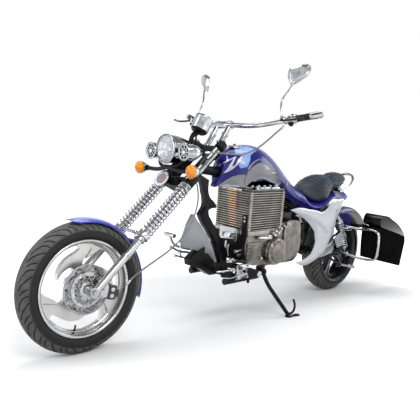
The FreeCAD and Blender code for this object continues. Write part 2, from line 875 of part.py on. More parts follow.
# ---------------------------------------------------------------- front mudguard, brake, hoses
def guard_profile(ring, inner, sheet, half_angle):
    """Arched band over a tyre crown: (y, radius) points for turning about the axle."""
    turn = math.radians(half_angle)
    bulge = -math.tan(turn / 2)
    outer = inner + sheet
    side, rise = math.sin(turn), math.cos(turn)
    return [
        (-outer * side, ring + outer * rise, bulge),
        (outer * side, ring + outer * rise),
        (inner * side, ring + inner * rise, -bulge),
        (-inner * side, ring + inner * rise),
    ]


MUDGUARD_FRONT = 78
MUDGUARD_REAR = 196
MUDGUARD_HALF_ANGLE = 43


def front_mudguard():
    """Blade over the tyre, from in front of its top to behind it, with a bracket to each leg."""
    ring = mm("front_tyre_radius") - mm("front_crown")
    inner = mm("front_crown") + mm("mudguard_gap")
    outline = guard_profile(ring, inner, mm("sheet"), MUDGUARD_HALF_ANGLE)
    band = turned("mudguard_band", outline, MUDGUARD_REAR - MUDGUARD_FRONT)
    start = 90 - MUDGUARD_REAR + mm("rake_angle")
    band.Placement = Placement(AXLE_IN_FORK, Rotation(Y_AXIS, start))
    tip = Placement(AXLE_IN_FORK, Rotation(Y_AXIS, mm("rake_angle") - MUDGUARD_FRONT + 90))
    shaves = []
    for side, sign in SIDES:
        shave = block(f"mudguard_shave_{side}", Vector(-90, -60, 0), Vector(90, 60, 400))
        aim = Placement(Vector(34, sign * 76, 0), Rotation(Z_AXIS, -sign * 32))
        shave.Placement = tip.multiply(aim.multiply(shave.Placement))
        shaves.append(shave)
    band = less("mudguard_blade", band, shaves)
    space = turned("mudguard_space", [(-inner, 0), (-inner, ring, -1), (inner, ring), (inner, 0)])
    space.Placement = Placement(AXLE_IN_FORK, Rotation())
    lugs = []
    for side, sign in SIDES:
        low = min(sign * 30, sign * mm("leg_spread"))
        high = max(sign * 30, sign * mm("leg_spread"))
        plate = block(f"mudguard_lug_{side}", Vector(44, low, 290), Vector(66, high, 304))
        foot = leg(sign * mm("leg_spread"), 200)
        leg_copy = rod(f"mudguard_leg_{side}", foot, Z_AXIS, "sizes.slider_radius", "200")
        lugs.append(less(f"mudguard_bracket_{side}", plate, [leg_copy, space]))
    return joined("front_mudguard_whole", [band, *lugs])


CALIPER_TURN = 54


def brake_caliper():
    """Caliper straddling the front disc, behind the left leg."""
    disc_face = mm("front_hub_half") - 5
    body = block("caliper_body", Vector(-32, disc_face - 16, 84), Vector(32, 90, 146))
    slot = block(
        "caliper_slot",
        Vector(-40, disc_face - 6, 76),
        Vector(40, disc_face + mm("disc_thickness") + 6, mm("front_disc_radius") + 8),
    )
    turn = Placement(AXLE_IN_FORK, Rotation(Y_AXIS, -CALIPER_TURN))
    body.Placement = turn.multiply(body.Placement)
    slot.Placement = turn.multiply(slot.Placement)
    arm = block("caliper_arm", Vector(-30, 82, 44), Vector(55, 93, 84))
    leg_copy = rod("caliper_leg", leg(mm("leg_spread"), 0), Z_AXIS, "sizes.slider_radius", "200")
    return less("brake_caliper_whole", joined("caliper_parts", [body, arm]), [slot, leg_copy])


BRAKE_HOSE = [
    (1, 52, 755),
    (-46, 58, 726),
    (-91, 60, 682),
    (-126, 62, 613),
    (-143, 66, 528),
    (-135, 70, 426),
    (-100, 75, 318),
    (-69, 80, 227),
    (-56, 84, 176),
    (-54, 86, 140),
]
CONTROL_HOSE = [
    (9, 350, 1162),
    (6, 332, 1130),
    (-8, 296, 1078),
    (-21, 258, 1038),
    (-25, 225, 1004),
    (-8, 187, 961),
    (38, 154, 916),
    (76, 139, 880),
    (101, 110, 851),
]


def hose(name, route):
    """Braided hose along its route."""
    return solid(name, pipe([Vector(*point) for point in route], 4))


keep("front_mudguard", front_mudguard(), "fork")
keep("brake_caliper", brake_caliper(), "fork")
control_hose = less("control_hose_clear", hose("control_hose", CONTROL_HOSE), [doc.getObject("hose_box")])
keep("hoses", bundle("hoses_whole", [hose("brake_hose", BRAKE_HOSE), control_hose]), "fork")


# ---------------------------------------------------------------- frame
def at_engine(ahead, y, z):
    """Point measured from the cylinder block's centre plane."""
    return Vector(ENGINE_X + ahead, y, z)


def from_engine(outline):
    """XZ outline whose x is measured from the cylinder block's centre."""
    return [(ENGINE_X + point[0], *point[1:]) for point in outline]


def head_point(up, ahead=0):
    """Point of the steering axis, or ahead of it, in the upright frame."""
    return FORK.multVec(Vector(ahead, 0, up))


HEAD_LOW = mm("lower_clamp_up") + mm("lower_clamp_height") + 6
HEAD_HIGH = mm("upper_clamp_up") - 6
BACKBONE = [
    head_point((HEAD_LOW + HEAD_HIGH) / 2),
    at_engine(40, 0, 775),
    at_engine(-150, 0, 742),
    at_engine(-330, 0, 612),
]
DOWNTUBE = [
    (430, 800),
    (382, 752, 0.1),
    (363, 697, 0.1),
    (349, 655, 0.2),
    (352, 613),
    (376, 580, -0.08),
    (322, 504),
    (262, 434, -0.1),
    (226, 376),
    (210, 250),
    (150, 250),
    (178, 386, 0.1),
    (222, 444),
    (262, 502, 0.06),
    (308, 555, 0.2),
    (329, 592, 0.5),
    (318, 609, 0.1),
    (277, 612),
    (275, 626, -0.1),
    (316, 660, 0.2),
    (343, 716),
    (343, 760),
]
CHIN_BRACKET = [
    (346, 412),
    (404, 380),
    (440, 352),
    (432, 320),
    (350, 290),
    (290, 252),
    (206, 252),
    (214, 300),
    (262, 328),
]


STAND_PIVOT = at_engine(16, 0, 267)
SWING_PIVOT = at_engine(-446, 0, 330)


def stand_bracket():
    """Bracket under the left rail with the stand's pivot pin."""
    top = STAND_PIVOT + Y_AXIS * mm("stand_spread")
    pin = rod("stand_pin", top - Y_AXIS * 24, Y_AXIS, "8", "44")
    plate = block(
        "stand_plate",
        Vector(top.x - 32, top.y - 24, 248),
        Vector(top.x + 32, top.y - 13, 300),
    )
    return joined("stand_bracket", [pin, plate])


def frame():
    """Welded frame: head, backbone, downtube, cradle loop, seat rails and shock mount."""
    head_length = HEAD_HIGH - HEAD_LOW
    head = rod("head_tube", head_point(HEAD_LOW), UP_FORK, "sizes.head_radius", head_length)
    spine = solid("backbone", pipe(BACKBONE, mm("backbone_radius")))
    down = padded("downtube", from_engine(DOWNTUBE), "44")
    bracket = padded("chin_bracket", from_engine(CHIN_BRACKET), "46")
    parts = [head, spine, down, bracket]
    rail = mm("rail_spread")
    height = mm("rail_height")
    cross_foot = at_engine(182, -rail, height + 8)
    width = "2 * sizes.rail_spread"
    parts.append(rod("front_cross", cross_foot, Y_AXIS, "sizes.rail_radius", width))
    cradle = [
        at_engine(276, -rail, height),
        at_engine(20, -rail, height),
        at_engine(-14, -rail * 0.7, height),
        at_engine(-14, rail * 0.7, height),
        at_engine(20, rail, height),
        at_engine(276, rail, height),
    ]
    parts.append(solid("cradle", pipe(cradle, mm("rail_radius"))))
    for side, sign in SIDES:
        along = sign * mm("seat_rail_spread")
        upright = [
            SWING_PIVOT + Y_AXIS * along,
            at_engine(-492, along, 470),
            at_engine(-520, along, 552),
        ]
        parts.append(solid(f"upright_{side}", pipe(upright, mm("tube_frame") - 4)))
        seat_rail = [
            at_engine(-300, 0, 634),
            at_engine(-380, along, 556),
            at_engine(-530, along, 552),
            Vector(165, along, 552),
        ]
        parts.append(solid(f"seat_rail_{side}", pipe(seat_rail, mm("tube_frame") - 4)))
    parts.append(rod("shock_bar", Vector(196, -129, 556), Y_AXIS, "11", "258"))
    parts.append(rod("pivot_bar", SWING_PIVOT - Y_AXIS * 116, Y_AXIS, "20", "232"))
    parts.append(stand_bracket())
    below = head_point(HEAD_LOW - 1)
    fit = "sizes.stem_radius + sizes.bearing_gap"
    bore = rod("head_bore", below, UP_FORK, fit, head_length + 2)
    return less("frame_whole", joined("frame_tubes", parts), [bore])


def fork_space():
    """Room behind the steering axis for the turning clamps and risers."""
    space = block("fork_space", Vector(-36, -200, 780), Vector(300, 200, 1300))
    space.Placement = FORK.multiply(space.Placement)
    return space


# ---------------------------------------------------------------- tank, tail and seat
def arch(low, half_low, wide, half_wide, top):
    """Closed section: flat bottom, straight flanks and an arched top."""
    rise = top - wide
    bulge = -rise / half_wide
    return [(-half_low, low), (-half_wide, wide, bulge), (half_wide, wide), (half_low, low)]


TANK = (  # ahead of the block's centre, low, half low, wide, half wide, top
    (294, 720, 20, 728, 18, 742),
    (275, 724, 38, 752, 24, 806),
    (250, 726, 60, 806, 32, 880),
    (226, 728, 80, 840, 58, 902),
    (196, 728, 102, 846, 96, 920),
    (150, 728, 110, 832, 126, 936),
    (90, 728, 112, 812, 144, 947),
    (0, 728, 110, 800, 140, 940),
    (-80, 728, 104, 780, 128, 906),
    (-150, 724, 92, 754, 110, 862),
    (-220, 680, 76, 714, 92, 812),
    (-300, 636, 70, 666, 82, 756),
    (-370, 606, 78, 638, 90, 714),
    (-420, 590, 96, 618, 108, 690),
)
TANK_ARCH = [
    (-163, 690),
    (-163, 727),
    (-130, 728, 0.05),
    (-66, 747, 0.05),
    (24, 767, 0.05),
    (85, 765, 0.1),
    (119, 757, 0.05),
    (152, 730),
    (154, 690),
]
TAIL = (  # same columns, measured from the block's centre as well
    (-421, 588, 96, 614, 108, 684),
    (-470, 570, 114, 596, 126, 646),
    (-560, 584, 122, 606, 132, 650),
    (-620, 612, 116, 632, 124, 662),
    (-760, 634, 88, 648, 96, 674),
    (-900, 636, 68, 648, 74, 678),
)
SEAT = (  # same columns
    (-428, 660, 12, 676, 16, 694),
    (-446, 640, 46, 662, 58, 713),
    (-486, 618, 82, 644, 90, 734),
    (-536, 610, 104, 650, 112, 754),
    (-586, 622, 112, 666, 120, 774),
    (-636, 650, 106, 690, 113, 784),
    (-680, 674, 88, 702, 95, 784),
    (-726, 690, 68, 708, 76, 770),
)
PILLION = (  # same columns
    (-720, 682, 48, 716, 56, 776),
    (-742, 680, 54, 722, 60, 790),
    (-790, 686, 58, 734, 64, 800),
    (-840, 704, 58, 746, 64, 800),
    (-880, 722, 48, 756, 54, 792),
    (-906, 738, 28, 758, 34, 778),
)


def shell_along(name, table):
    """Loft through a table's sections, placed from the block's centre."""
    return lofted(name, [(ENGINE_X + row[0], *row[1:]) for row in table], arch)


def tank():
    """Stretched tank with a wedge nose, arched over the head, hollowed for the backbone."""
    body = shell_along("tank_body", TANK)
    tunnel = solid("tank_tunnel", pipe(BACKBONE, mm("backbone_radius") + 3))
    arched = padded("tank_arch", from_engine(TANK_ARCH), "400")
    around = [doc.getObject(name) for name in ("downtube", "head_tube")]
    return less("tank_whole", body, [tunnel, arched, fork_space(), *around])


def tail_body():
    return shell_along("tail_shell", TAIL)


def seat():
    around = [doc.getObject("tail_shell"), doc.getObject("tank_whole")]
    return less("seat_whole", shell_along("seat_pad", SEAT), around)


def pillion_pad():
    around = [doc.getObject("tail_shell"), doc.getObject("seat_whole")]
    return less("pillion_whole", shell_along("pillion_shape", PILLION), around)


keep("frame", frame(), "chassis")
keep("tank", tank(), "chassis")
keep("tail_body", tail_body(), "chassis")
keep("seat", seat(), "chassis")
keep("pillion_pad", pillion_pad(), "chassis")


# ---------------------------------------------------------------- engine
CRANKCASE = [
    (128, 469),
    (132, 402),
    (119, 337),
    (61, 305),
    (-26, 284),
    (-276, 286),
    (-330, 330, 0.12),
    (-345, 400, 0.12),
    (-330, 470),
    (-318, 528),
    (-236, 535),
    (-161, 520),
    (-161, 469),
]


def cylinder_block():
    """Finned block's outer shape, its upright corners rounded."""
    half, length = mm("block_half"), mm("block_length") / 2
    body = doc.addObject("PartDesign::Body", "cylinder_block_body")
    cut = 14
    middle = ENGINE_X - mm("block_back")
    outline = [
        (middle - length + cut, -half),
        (middle + length - cut, -half, 0.414),
        (middle + length, -half + cut),
        (middle + length, half - cut, 0.414),
        (middle + length - cut, half),
        (middle - length + cut, half, 0.414),
        (middle - length, half - cut),
        (middle - length, -half + cut, 0.414),
    ]
    sketch = sketch_on(body, "block_outline", "XY_Plane", outline, mm("block_low"))
    pad = body.newObject("PartDesign::Pad", "block_pad")
    pad.Profile = sketch
    bind(pad, Length="sizes.block_high - sizes.block_low")
    return body


def block_and_head():
    """Finned block with its head plate, clear of the backbone."""
    half, length = mm("block_half") - 5, mm("block_length") / 2 - 5
    back, high = mm("block_back"), mm("block_high")
    low = at_engine(-back - length, -half, high)
    plate = block("head_plate", low, at_engine(length - back, half, high + 1))
    plate.setExpression("Height", "sizes.head_height")
    whole = joined("block_parts", [cylinder_block(), plate])
    return less("block_and_head", whole, [doc.getObject("backbone")])


def engine_covers():
    """Round stepped cover each side and a gear cover at the left front corner."""
    face = 122
    covers = []
    for side, sign in SIDES:
        foot = at_engine(-103, sign * face, 368)
        plate = rod(f"cover_plate_{side}", foot, Y_AXIS * sign, "81", "34")
        step = rod(f"cover_step_{side}", foot + Y_AXIS * sign * 34, Y_AXIS * sign, "58", "10")
        covers.append(joined(f"cover_{side}", [plate, step]))
    gear = block("gear_cover", at_engine(28, face, 300), at_engine(130, face + 24, 430))
    return bundle("engine_covers_whole", [*covers, gear])


def crankcase():
    """Crankcase with the finned drum behind it."""
    case = padded("crankcase_body", from_engine(CRANKCASE), "244")
    drum = rod("rear_drum", at_engine(-352, -104, 424), Y_AXIS, "62", "208")
    return joined("crankcase_whole", [case, drum])


def carburettor():
    """Bracket and oval cover low on the block's front face."""
    face = mm("block_length") / 2 - mm("block_back") + mm("part_gap")
    plate = block("carburettor_plate", at_engine(face, -64, 424), at_engine(face + 22, 66, 500))
    bowl = rod("carburettor_bowl", at_engine(face + 22, 0, 457), Vector(1, 0, 0), "30", "22")
    case = doc.getObject("crankcase_whole")
    return less("carburettor_whole", joined("carburettor_parts", [plate, bowl]), [case])


keep("cylinder_block", block_and_head(), "chassis")
keep("crankcase", crankcase(), "chassis")
keep("engine_covers", engine_covers(), "chassis")
keep("carburettor", carburettor(), "chassis")


# ---------------------------------------------------------------- panels
CHIN = [
    (424, 586),
    (460, 534, 0.06),
    (500, 444, 0.4),
    (488, 424),
    (313, 371),
    (262, 318),
    (247, 320),
    (284, 396),
    (320, 464, 0.04),
    (372, 526, 0.04),
]
CRESCENT = [
    (-166, 602, 0.12),
    (-340, 598, 0.06),
    (-470, 574, -0.25),
    (-566, 632, 0.1),
    (-709, 648, 0.05),
    (-640, 527, -0.04),
    (-630, 433),
    (-596, 404, 0.16),
    (-469, 289, 0.1),
    (-335, 262, 0.06),
    (-256, 292, -0.15),
    (-401, 324, -0.3),
    (-430, 456, -0.12),
    (-262, 566, -0.03),
]


CHIN_TAPER = 7.1


def chin_panel():
    """Panel ahead of the downtube, its flanks drawn together towards the front."""
    body = padded("chin_body", from_engine(CHIN), "58")
    around = [doc.getObject(name) for name in ("downtube", "chin_bracket")]
    for side, sign in SIDES:
        low, high = Vector(0, min(0, sign * 60), 0), Vector(320, max(0, sign * 60), 400)
        wedge = block(f"chin_wedge_{side}", low, high)
        lean = Placement(at_engine(290, sign * 29, 240), Rotation(Z_AXIS, -sign * CHIN_TAPER))
        wedge.Placement = lean.multiply(wedge.Placement)
        around.append(wedge)
    return less("chin_panel_whole", body, around)


def side_panels():
    """Crescent sheet on each flank of the machine."""
    panels = []
    for side, sign in SIDES:
        y = sign * (mm("panel_spread") + mm("panel_thickness") / 2)
        outline = from_engine(CRESCENT)
        panels.append(padded(f"side_panel_{side}", outline, "sizes.panel_thickness", y))
    return bundle("side_panels_whole", panels)


keep("chin_panel", chin_panel(), "chassis")
keep("side_panels", side_panels(), "chassis")


# ---------------------------------------------------------------- rear end
FENDER_FRONT = 52
FENDER_REAR = 166
SKIRT_LOW = 430
SKIRT_INSIDE = 150


def rear_fender():
    """Deep fender over the rear tyre with skirts down both sides."""
    sheet = mm("sheet")
    outer = mm("rear_tyre_radius") + mm("fender_gap") + sheet
    half, corner = mm("fender_half"), 34
    outline = [
        (-half, SKIRT_INSIDE),
        (-half, outer - corner, -0.414),
        (-half + corner, outer),
        (half - corner, outer, -0.414),
        (half, outer - corner),
        (half, SKIRT_INSIDE),
        (half - sheet, SKIRT_INSIDE),
        (half - sheet, outer - corner, 0.414),
        (half - corner, outer - sheet),
        (-half + corner, outer - sheet, 0.414),
        (-half + sheet, outer - corner),
        (-half + sheet, SKIRT_INSIDE),
    ]
    band = turned("fender_band", outline, FENDER_REAR - FENDER_FRONT)
    band.Placement = Placement(rear_axle, Rotation(Y_AXIS, 90 - FENDER_REAR))
    below = block("fender_below", Vector(-500, -200, 0), Vector(500, 200, SKIRT_LOW))
    stays = []
    for side, sign in SIDES:
        beyond = sign * mm("bag_inner")
        trim = block(
            f"stay_trim_{side}",
            Vector(-400, min(beyond, beyond + sign * 100), 300),
            Vector(100, max(beyond, beyond + sign * 100), 600),
        )
        for name, x, high, low in (("front", -60, 462, 458), ("rear", -235, 446, 410)):
            foot = Vector(x, sign * (half - sheet), high)
            run = Vector(x, beyond + sign * 6, low) - foot
            stay = rod(f"bag_stay_{name}_{side}", foot, run, 8, run.Length)
            stays.append(less(f"bag_stay_cut_{name}_{side}", stay, [trim]))
    names = ("seat_rail_left", "seat_rail_right", "shock_bar", "tail_shell", "seat_whole")
    around = [doc.getObject(name) for name in names]
    return less("rear_fender_whole", joined("fender_and_stays", [band, *stays]), [below, *around])


SWING_SPREAD = 112


def swingarm():
    """Twin arms from the pivot to the rear axle."""
    arms = []
    for side, sign in SIDES:
        points = [
            SWING_PIVOT + Vector(-10, sign * 104, 0),
            Vector(200, sign * 108, 306),
            rear_axle + Vector(0, sign * SWING_SPREAD, 0),
        ]
        arms.append(solid(f"arm_{side}", pipe(points, 16)))
        boss_foot = SWING_PIVOT + Y_AXIS * (sign * 104 - 12)
        arms.append(rod(f"pivot_boss_{side}", boss_foot, Y_AXIS, "30", "24"))
        end_foot = rear_axle + Y_AXIS * (sign * SWING_SPREAD - 13)
        arms.append(rod(f"axle_boss_{side}", end_foot, Y_AXIS, "27", "26"))
    arms.append(rod("swing_cross", Vector(330, -106, 316), Y_AXIS, "15", "212"))
    body = joined("swing_tubes", arms)
    bore = rod("rear_axle_bore", rear_axle - Y_AXIS * 150, Y_AXIS, "sizes.axle_radius", "300")
    return less("swingarm_whole", body, [bore, doc.getObject("pivot_bar")])


def rear_axle_piece():
    spindle = rod("rear_spindle", rear_axle - Y_AXIS * 134, Y_AXIS, "sizes.axle_radius", "268")
    spacers = []
    for side, sign in SIDES:
        foot = rear_axle + Y_AXIS * sign * (mm("rear_hub_half") + mm("face_gap"))
        room = SWING_SPREAD - 17 - mm("rear_hub_half") - mm("face_gap")
        spacers.append(rod(f"rear_spacer_{side}", foot, Y_AXIS * sign, 15, room))
    return joined("rear_axle_whole", [spindle, *spacers])


def rear_shocks():
    """Shock absorber each side from the swingarm to the frame."""
    shocks = []
    for side, sign in SIDES:
        low = Vector(62, sign * 146, 300)
        high = Vector(190, sign * 146, 548)
        run = high - low
        body = rod(f"shock_body_{side}", low + run * 0.12, run, "23", f"{run.Length * 0.72:.1f}")
        core = rod(f"shock_core_{side}", low, run, "9", f"{run.Length:.1f}")
        eye = rod(f"shock_eye_{side}", low - Y_AXIS * (8 + 9 * sign), Y_AXIS, "13", "16")
        top = rod(f"shock_top_{side}", high - Y_AXIS * (8 + 9 * sign), Y_AXIS, "13", "16")
        shocks.append(joined(f"shock_{side}", [body, core, eye, top]))
    return bundle("rear_shocks", shocks)


def grab_rail():
    """Loop round the back of the pillion pad, on a cross plate under the pad."""
    points = [
        Vector(128, 84, 696),
        Vector(66, 90, 702),
        Vector(4, 92, 710),
        Vector(-50, 84, 742),
        Vector(-94, 50, 776),
        Vector(-108, 0, 788),
    ]
    far = [other_side(point) for point in reversed(points[:-1])]
    tube = solid("grab_rail_tube", pipe(points + far, 9))
    plate = block("grab_rail_plate", Vector(60, -92, 680), Vector(104, 92, 704))
    names = ("pillion_whole", "seat_whole", "tail_shell", "rear_fender_whole")
    around = [doc.getObject(name) for name in names]
    return less("grab_rail_whole", joined("grab_rail_parts", [tube, plate]), around)


keep("rear_fender", rear_fender(), "chassis")
keep("swingarm", swingarm(), "chassis")
keep("rear_axle", rear_axle_piece(), "chassis")
keep("rear_shocks", rear_shocks(), "chassis")
keep("grab_rail", grab_rail(), "chassis")


# ---------------------------------------------------------------- saddlebags
BAG = [
    (-6, 273),
    (-320, 198),
    (-356, 366, 0.1),
    (-345, 399),
    (-14, 484),
    (6, 462, -0.06),
]
BAG_INSIDE = [
    (-20, 278),
    (-312, 208),
    (-343, 366),
    (-390, 480),
    (-10, 540),
    (-7, 462),
]
LID = [
    (-13, 486),
    (-344, 401),
    (-344, 404, -0.12),
    (-151, 523, -0.12),
    (-24, 558, -0.2),
    (6, 520, -0.2),
]


HINGE_OUT = 7
HINGE_RADIUS = 6
HINGE_PIN = 3
HINGE_LENGTH = 60
BAG_SPLIT = 14.4
SPLIT_POINT = Vector(-150, 0, 450)


def hinge_frame(sign):
    """Frame of a lid hinge: X up the split line, origin on the hinge axis."""
    y = sign * (mm("bag_inner") - HINGE_OUT)
    return Placement(Vector(SPLIT_POINT.x, y, SPLIT_POINT.z), Rotation(Y_AXIS, -BAG_SPLIT))


def barrel(name, sign, start, length, radius):
    """Cylinder on a hinge axis."""
    item = rod(name, Vector(start, 0, 0), Vector(1, 0, 0), radius, length)
    item.Placement = hinge_frame(sign).multiply(item.Placement)
    return item


def leaf(name, sign, start, length, low, high):
    """Hinge leaf between a barrel and the bag's or lid's inner face."""
    near = min(0, sign * HINGE_OUT)
    far = max(0, sign * HINGE_OUT)
    item = block(name, Vector(start, near, low), Vector(start + length, far, high))
    item.Placement = hinge_frame(sign).multiply(item.Placement)
    return item


def bag_centre(sign):
    return sign * (mm("bag_inner") + mm("bag_outer")) / 2


def bag_body(side, sign):
    """Hollow hard bag, open at the top under its lid, with the hinge pin and end barrels."""
    y = bag_centre(sign)
    outer = padded(f"bag_{side}_outer", BAG, "sizes.bag_outer - sizes.bag_inner", y)
    depth = "sizes.bag_outer - sizes.bag_inner - 2 * sizes.bag_wall"
    inner = padded(f"bag_{side}_inner", BAG_INSIDE, depth, y)
    shell = less(f"bag_{side}_shell", outer, [inner])
    half = HINGE_LENGTH / 2 + 1
    parts = [shell, barrel(f"hinge_pin_{side}", sign, -half - 24, 2 * half + 48, HINGE_PIN)]
    for end, start in (("rear", -half - 24), ("front", half)):
        parts.append(barrel(f"hinge_{end}_{side}", sign, start, 24, HINGE_RADIUS))
        parts.append(leaf(f"leaf_{end}_{side}", sign, start, 24, -16, -2))
    return joined(f"bag_{side}_whole", parts)


def bag_lid(side, sign):
    """Domed lid on the bag's slanted mouth, with its bored hinge barrel."""
    width = "sizes.bag_outer - sizes.bag_inner"
    dome = padded(f"lid_{side}_dome", LID, width, bag_centre(sign))
    start = -HINGE_LENGTH / 2
    knuckle = barrel(f"knuckle_{side}", sign, start, HINGE_LENGTH, HINGE_RADIUS)
    plate = leaf(f"leaf_lid_{side}", sign, start, HINGE_LENGTH, 2, 16)
    fit = f"{HINGE_PIN} + sizes.bearing_gap"
    bore = barrel(f"knuckle_bore_{side}", sign, start - 1, HINGE_LENGTH + 2, fit)
    whole = joined(f"lid_{side}_parts", [dome, knuckle, plate])
    return less(f"lid_{side}_whole", whole, [bore])


def bag_guard(side, sign):
    """Chrome loop in front of the bag, from the fender's skirt down to the swingarm."""
    loop = [
        Vector(64, sign * 96, 462),
        Vector(44, sign * 150, 456),
        Vector(20, sign * 216, 450),
        Vector(20, sign * 290, 462),
        Vector(20, sign * 350, 452),
        Vector(20, sign * 356, 360),
        Vector(20, sign * 350, 270),
        Vector(22, sign * 264, 264),
        Vector(40, sign * 190, 270),
        Vector(70, sign * 120, 296),
    ]
    near = mm("fender_half")
    inside = block(f"guard_trim_{side}", Vector(0, -near, 200), Vector(200, near, 500))
    names = ("swingarm_whole", "shock_" + side)
    around = [doc.getObject(name) for name in names]
    return less(f"guard_{side}", solid(f"guard_loop_{side}", pipe(loop, 8)), [inside, *around])


for side_name, side_sign in SIDES:
    keep(f"saddlebag_{side_name}", bag_body(side_name, side_sign), "chassis")
    keep(f"bag_lid_{side_name}", bag_lid(side_name, side_sign), "chassis")
keep("bag_guards", bundle("bag_guards_whole", [bag_guard(*side) for side in SIDES]), "chassis")


# ---------------------------------------------------------------- footrests, pedal and stand


def footrests():
    """Rider's pegs on their plates, one each side of the cradle."""
    pegs = []
    for side, sign in SIDES:
        root = at_engine(152, sign * 150, 294)
        plate = block(
            f"peg_plate_{side}",
            at_engine(136, min(sign * 148, sign * 161), 250),
            at_engine(230, max(sign * 148, sign * 161), 328),
        )
        peg = rod(f"peg_{side}", root, Y_AXIS * sign, "15", "100")
        pegs.append(joined(f"footrest_{side}", [plate, peg]))
    return bundle("footrests", pegs)


def brake_pedal():
    """Right foot's brake pedal reaching forward and up."""
    arm = [
        at_engine(150, -176, 330),
        at_engine(260, -196, 346),
        at_engine(352, -212, 372),
        at_engine(382, -214, 430),
    ]
    tube = solid("pedal_arm", pipe(arm, 8))
    pad = rod("pedal_pad", at_engine(382, -250, 434), Y_AXIS, "12", "76")
    return joined("brake_pedal_whole", [tube, pad])


def side_stand():
    """Stand leg from its pivot to a long foot that lies flat on the ground."""
    ankle = ground_under(STAND_PIVOT.x - mm("stand_back"), mm("stand_reach"))
    up = STANDING.inverse().Rotation.multVec(Z_AXIS)
    top = STAND_PIVOT + Y_AXIS * mm("stand_spread")
    toe = ground_under(ankle.x - 55, ankle.y + 15)
    foot = rod("stand_foot", ankle, up, "20", "8")
    heel = rod("stand_toe", toe, up, "15", "8")
    sole_run = (toe - ankle).normalize()
    sole = block("stand_sole", Vector(0, -14, 0), Vector((toe - ankle).Length, 14, 7))
    flat = Placement(ankle, Rotation(sole_run, up.cross(sole_run), up, "ZXY"))
    sole.Placement = flat.multiply(sole.Placement)
    run = [top, top + Vector(-26, 22, -70), ankle + up * 8]
    leg_run = solid("stand_leg", pipe(run, 11))
    boss = rod("stand_boss", top - Y_AXIS * 11, Y_AXIS, "20", "22")
    hook = [
        ankle + up * 14,
        ankle + Vector(-6, 24, 34),
        ankle + Vector(-4, 34, 74),
        ankle + Vector(4, 24, 108),
    ]
    spur = solid("stand_spur", pipe(hook, 6))
    pin = rod("stand_pin_bore", top - Y_AXIS * 30, Y_AXIS, "8 + sizes.bearing_gap", "60")
    under = block("stand_under", Vector(-400, -400, -60), Vector(2400, 700, 0))
    under.Placement = STANDING.inverse().multiply(under.Placement)
    parts = joined("stand_parts", [foot, heel, sole, leg_run, boss, spur])
    return less("side_stand_whole", parts, [pin, under])


keep("foot_controls", bundle("foot_controls_whole", [footrests(), brake_pedal()]), "chassis")
keep("side_stand", side_stand(), "chassis")


# ---------------------------------------------------------------- check and write
doc.recompute()
for item in doc.Objects:
    if "Invalid" in item.State or "Error" in item.State:
        raise SystemExit(f"{item.Label} is {item.State}")
for whole, place in pieces.values():
    whole.Placement = place
doc.recompute()

box = FreeCAD.BoundBox()
for whole, place in pieces.values():
    box.add(whole.Shape.optimalBoundingBox(False, False))
centring = Placement(Vector(-box.Center.x, -box.Center.y, 0), Rotation())
for whole, place in pieces.values():
    whole.Placement = centring.multiply(place)
doc.recompute()

os.makedirs("parts", exist_ok=True)
for node, (whole, place) in pieces.items():
    shape = whole.Shape
    if shape.isNull() or not shape.isValid():
        raise SystemExit(f"{node} has no valid shape")
    shape.exportStep(f"parts/{node}.step")
    print(node, len(shape.Solids), "solid(s)", round(shape.Volume / 1e6, 3), "litres")
print("moved by", tuple(round(value, 3) for value in centring.Base), "box", box)
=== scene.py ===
"""Looks of a raked chopper motorcycle, leaning on its side stand."""
import math

import bmesh
import bpy
import numpy as np
from mathutils import Matrix, Vector
from mathutils.bvhtree import BVHTree
from mathutils.geometry import delaunay_2d_cdt


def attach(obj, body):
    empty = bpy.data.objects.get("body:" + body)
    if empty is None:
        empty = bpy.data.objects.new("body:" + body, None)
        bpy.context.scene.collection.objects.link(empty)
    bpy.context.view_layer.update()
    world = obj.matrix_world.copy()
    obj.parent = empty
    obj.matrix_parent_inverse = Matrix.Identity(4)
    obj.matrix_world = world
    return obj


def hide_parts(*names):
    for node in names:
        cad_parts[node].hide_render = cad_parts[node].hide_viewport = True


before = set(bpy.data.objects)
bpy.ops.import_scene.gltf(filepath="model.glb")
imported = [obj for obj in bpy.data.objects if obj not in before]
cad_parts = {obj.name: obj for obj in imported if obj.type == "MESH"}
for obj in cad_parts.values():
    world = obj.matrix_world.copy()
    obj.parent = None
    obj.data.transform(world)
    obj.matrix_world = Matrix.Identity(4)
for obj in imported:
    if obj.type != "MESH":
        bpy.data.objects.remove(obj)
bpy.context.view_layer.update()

MM = 0.001


# ---------------- frames of reference, in metres
def turn(axis, degrees):
    return Matrix.Rotation(math.radians(degrees), 4, axis)


def shift(x, y, z):
    """Move by millimetres."""
    return Matrix.Translation(Vector((x, y, z)) * MM)


LEAN, RAKE, REST_STEER, PITCH = 6, 47, 3.5, 0.013457
CHASSIS = shift(-933.773, -115.379, 0.394) @ turn("Y", -PITCH) @ turn("X", -LEAN)
FORK = CHASSIS @ shift(1884.988, 0, 245.731) @ turn("Y", -RAKE) @ turn("Z", -REST_STEER)
FRONT_WHEEL = FORK @ shift(66, 0, 0)
REAR_WHEEL = CHASSIS @ shift(0, 0, 274.5)
ENGINE = CHASSIS @ shift(876, 0, 0)
LEG_AHEAD, LEG_SPREAD = 55, 100
FORWARD = Vector((math.cos(math.radians(RAKE)), 0, -math.sin(math.radians(RAKE))))
SKY = Vector((math.sin(math.radians(RAKE)), 0, math.cos(math.radians(RAKE))))
SIDES = (1, -1)
UPRIGHT = Matrix(((1, 0, 0), (0, 0, 1), (0, 1, 0))).to_4x4()  # plate outlines (x, z), thickness along Y
WHEEL_PLANE = turn("X", 90)  # plate outlines (x, z), thickness against Y
SLIVER = 0.00002  # metres; corners nearer than this are one


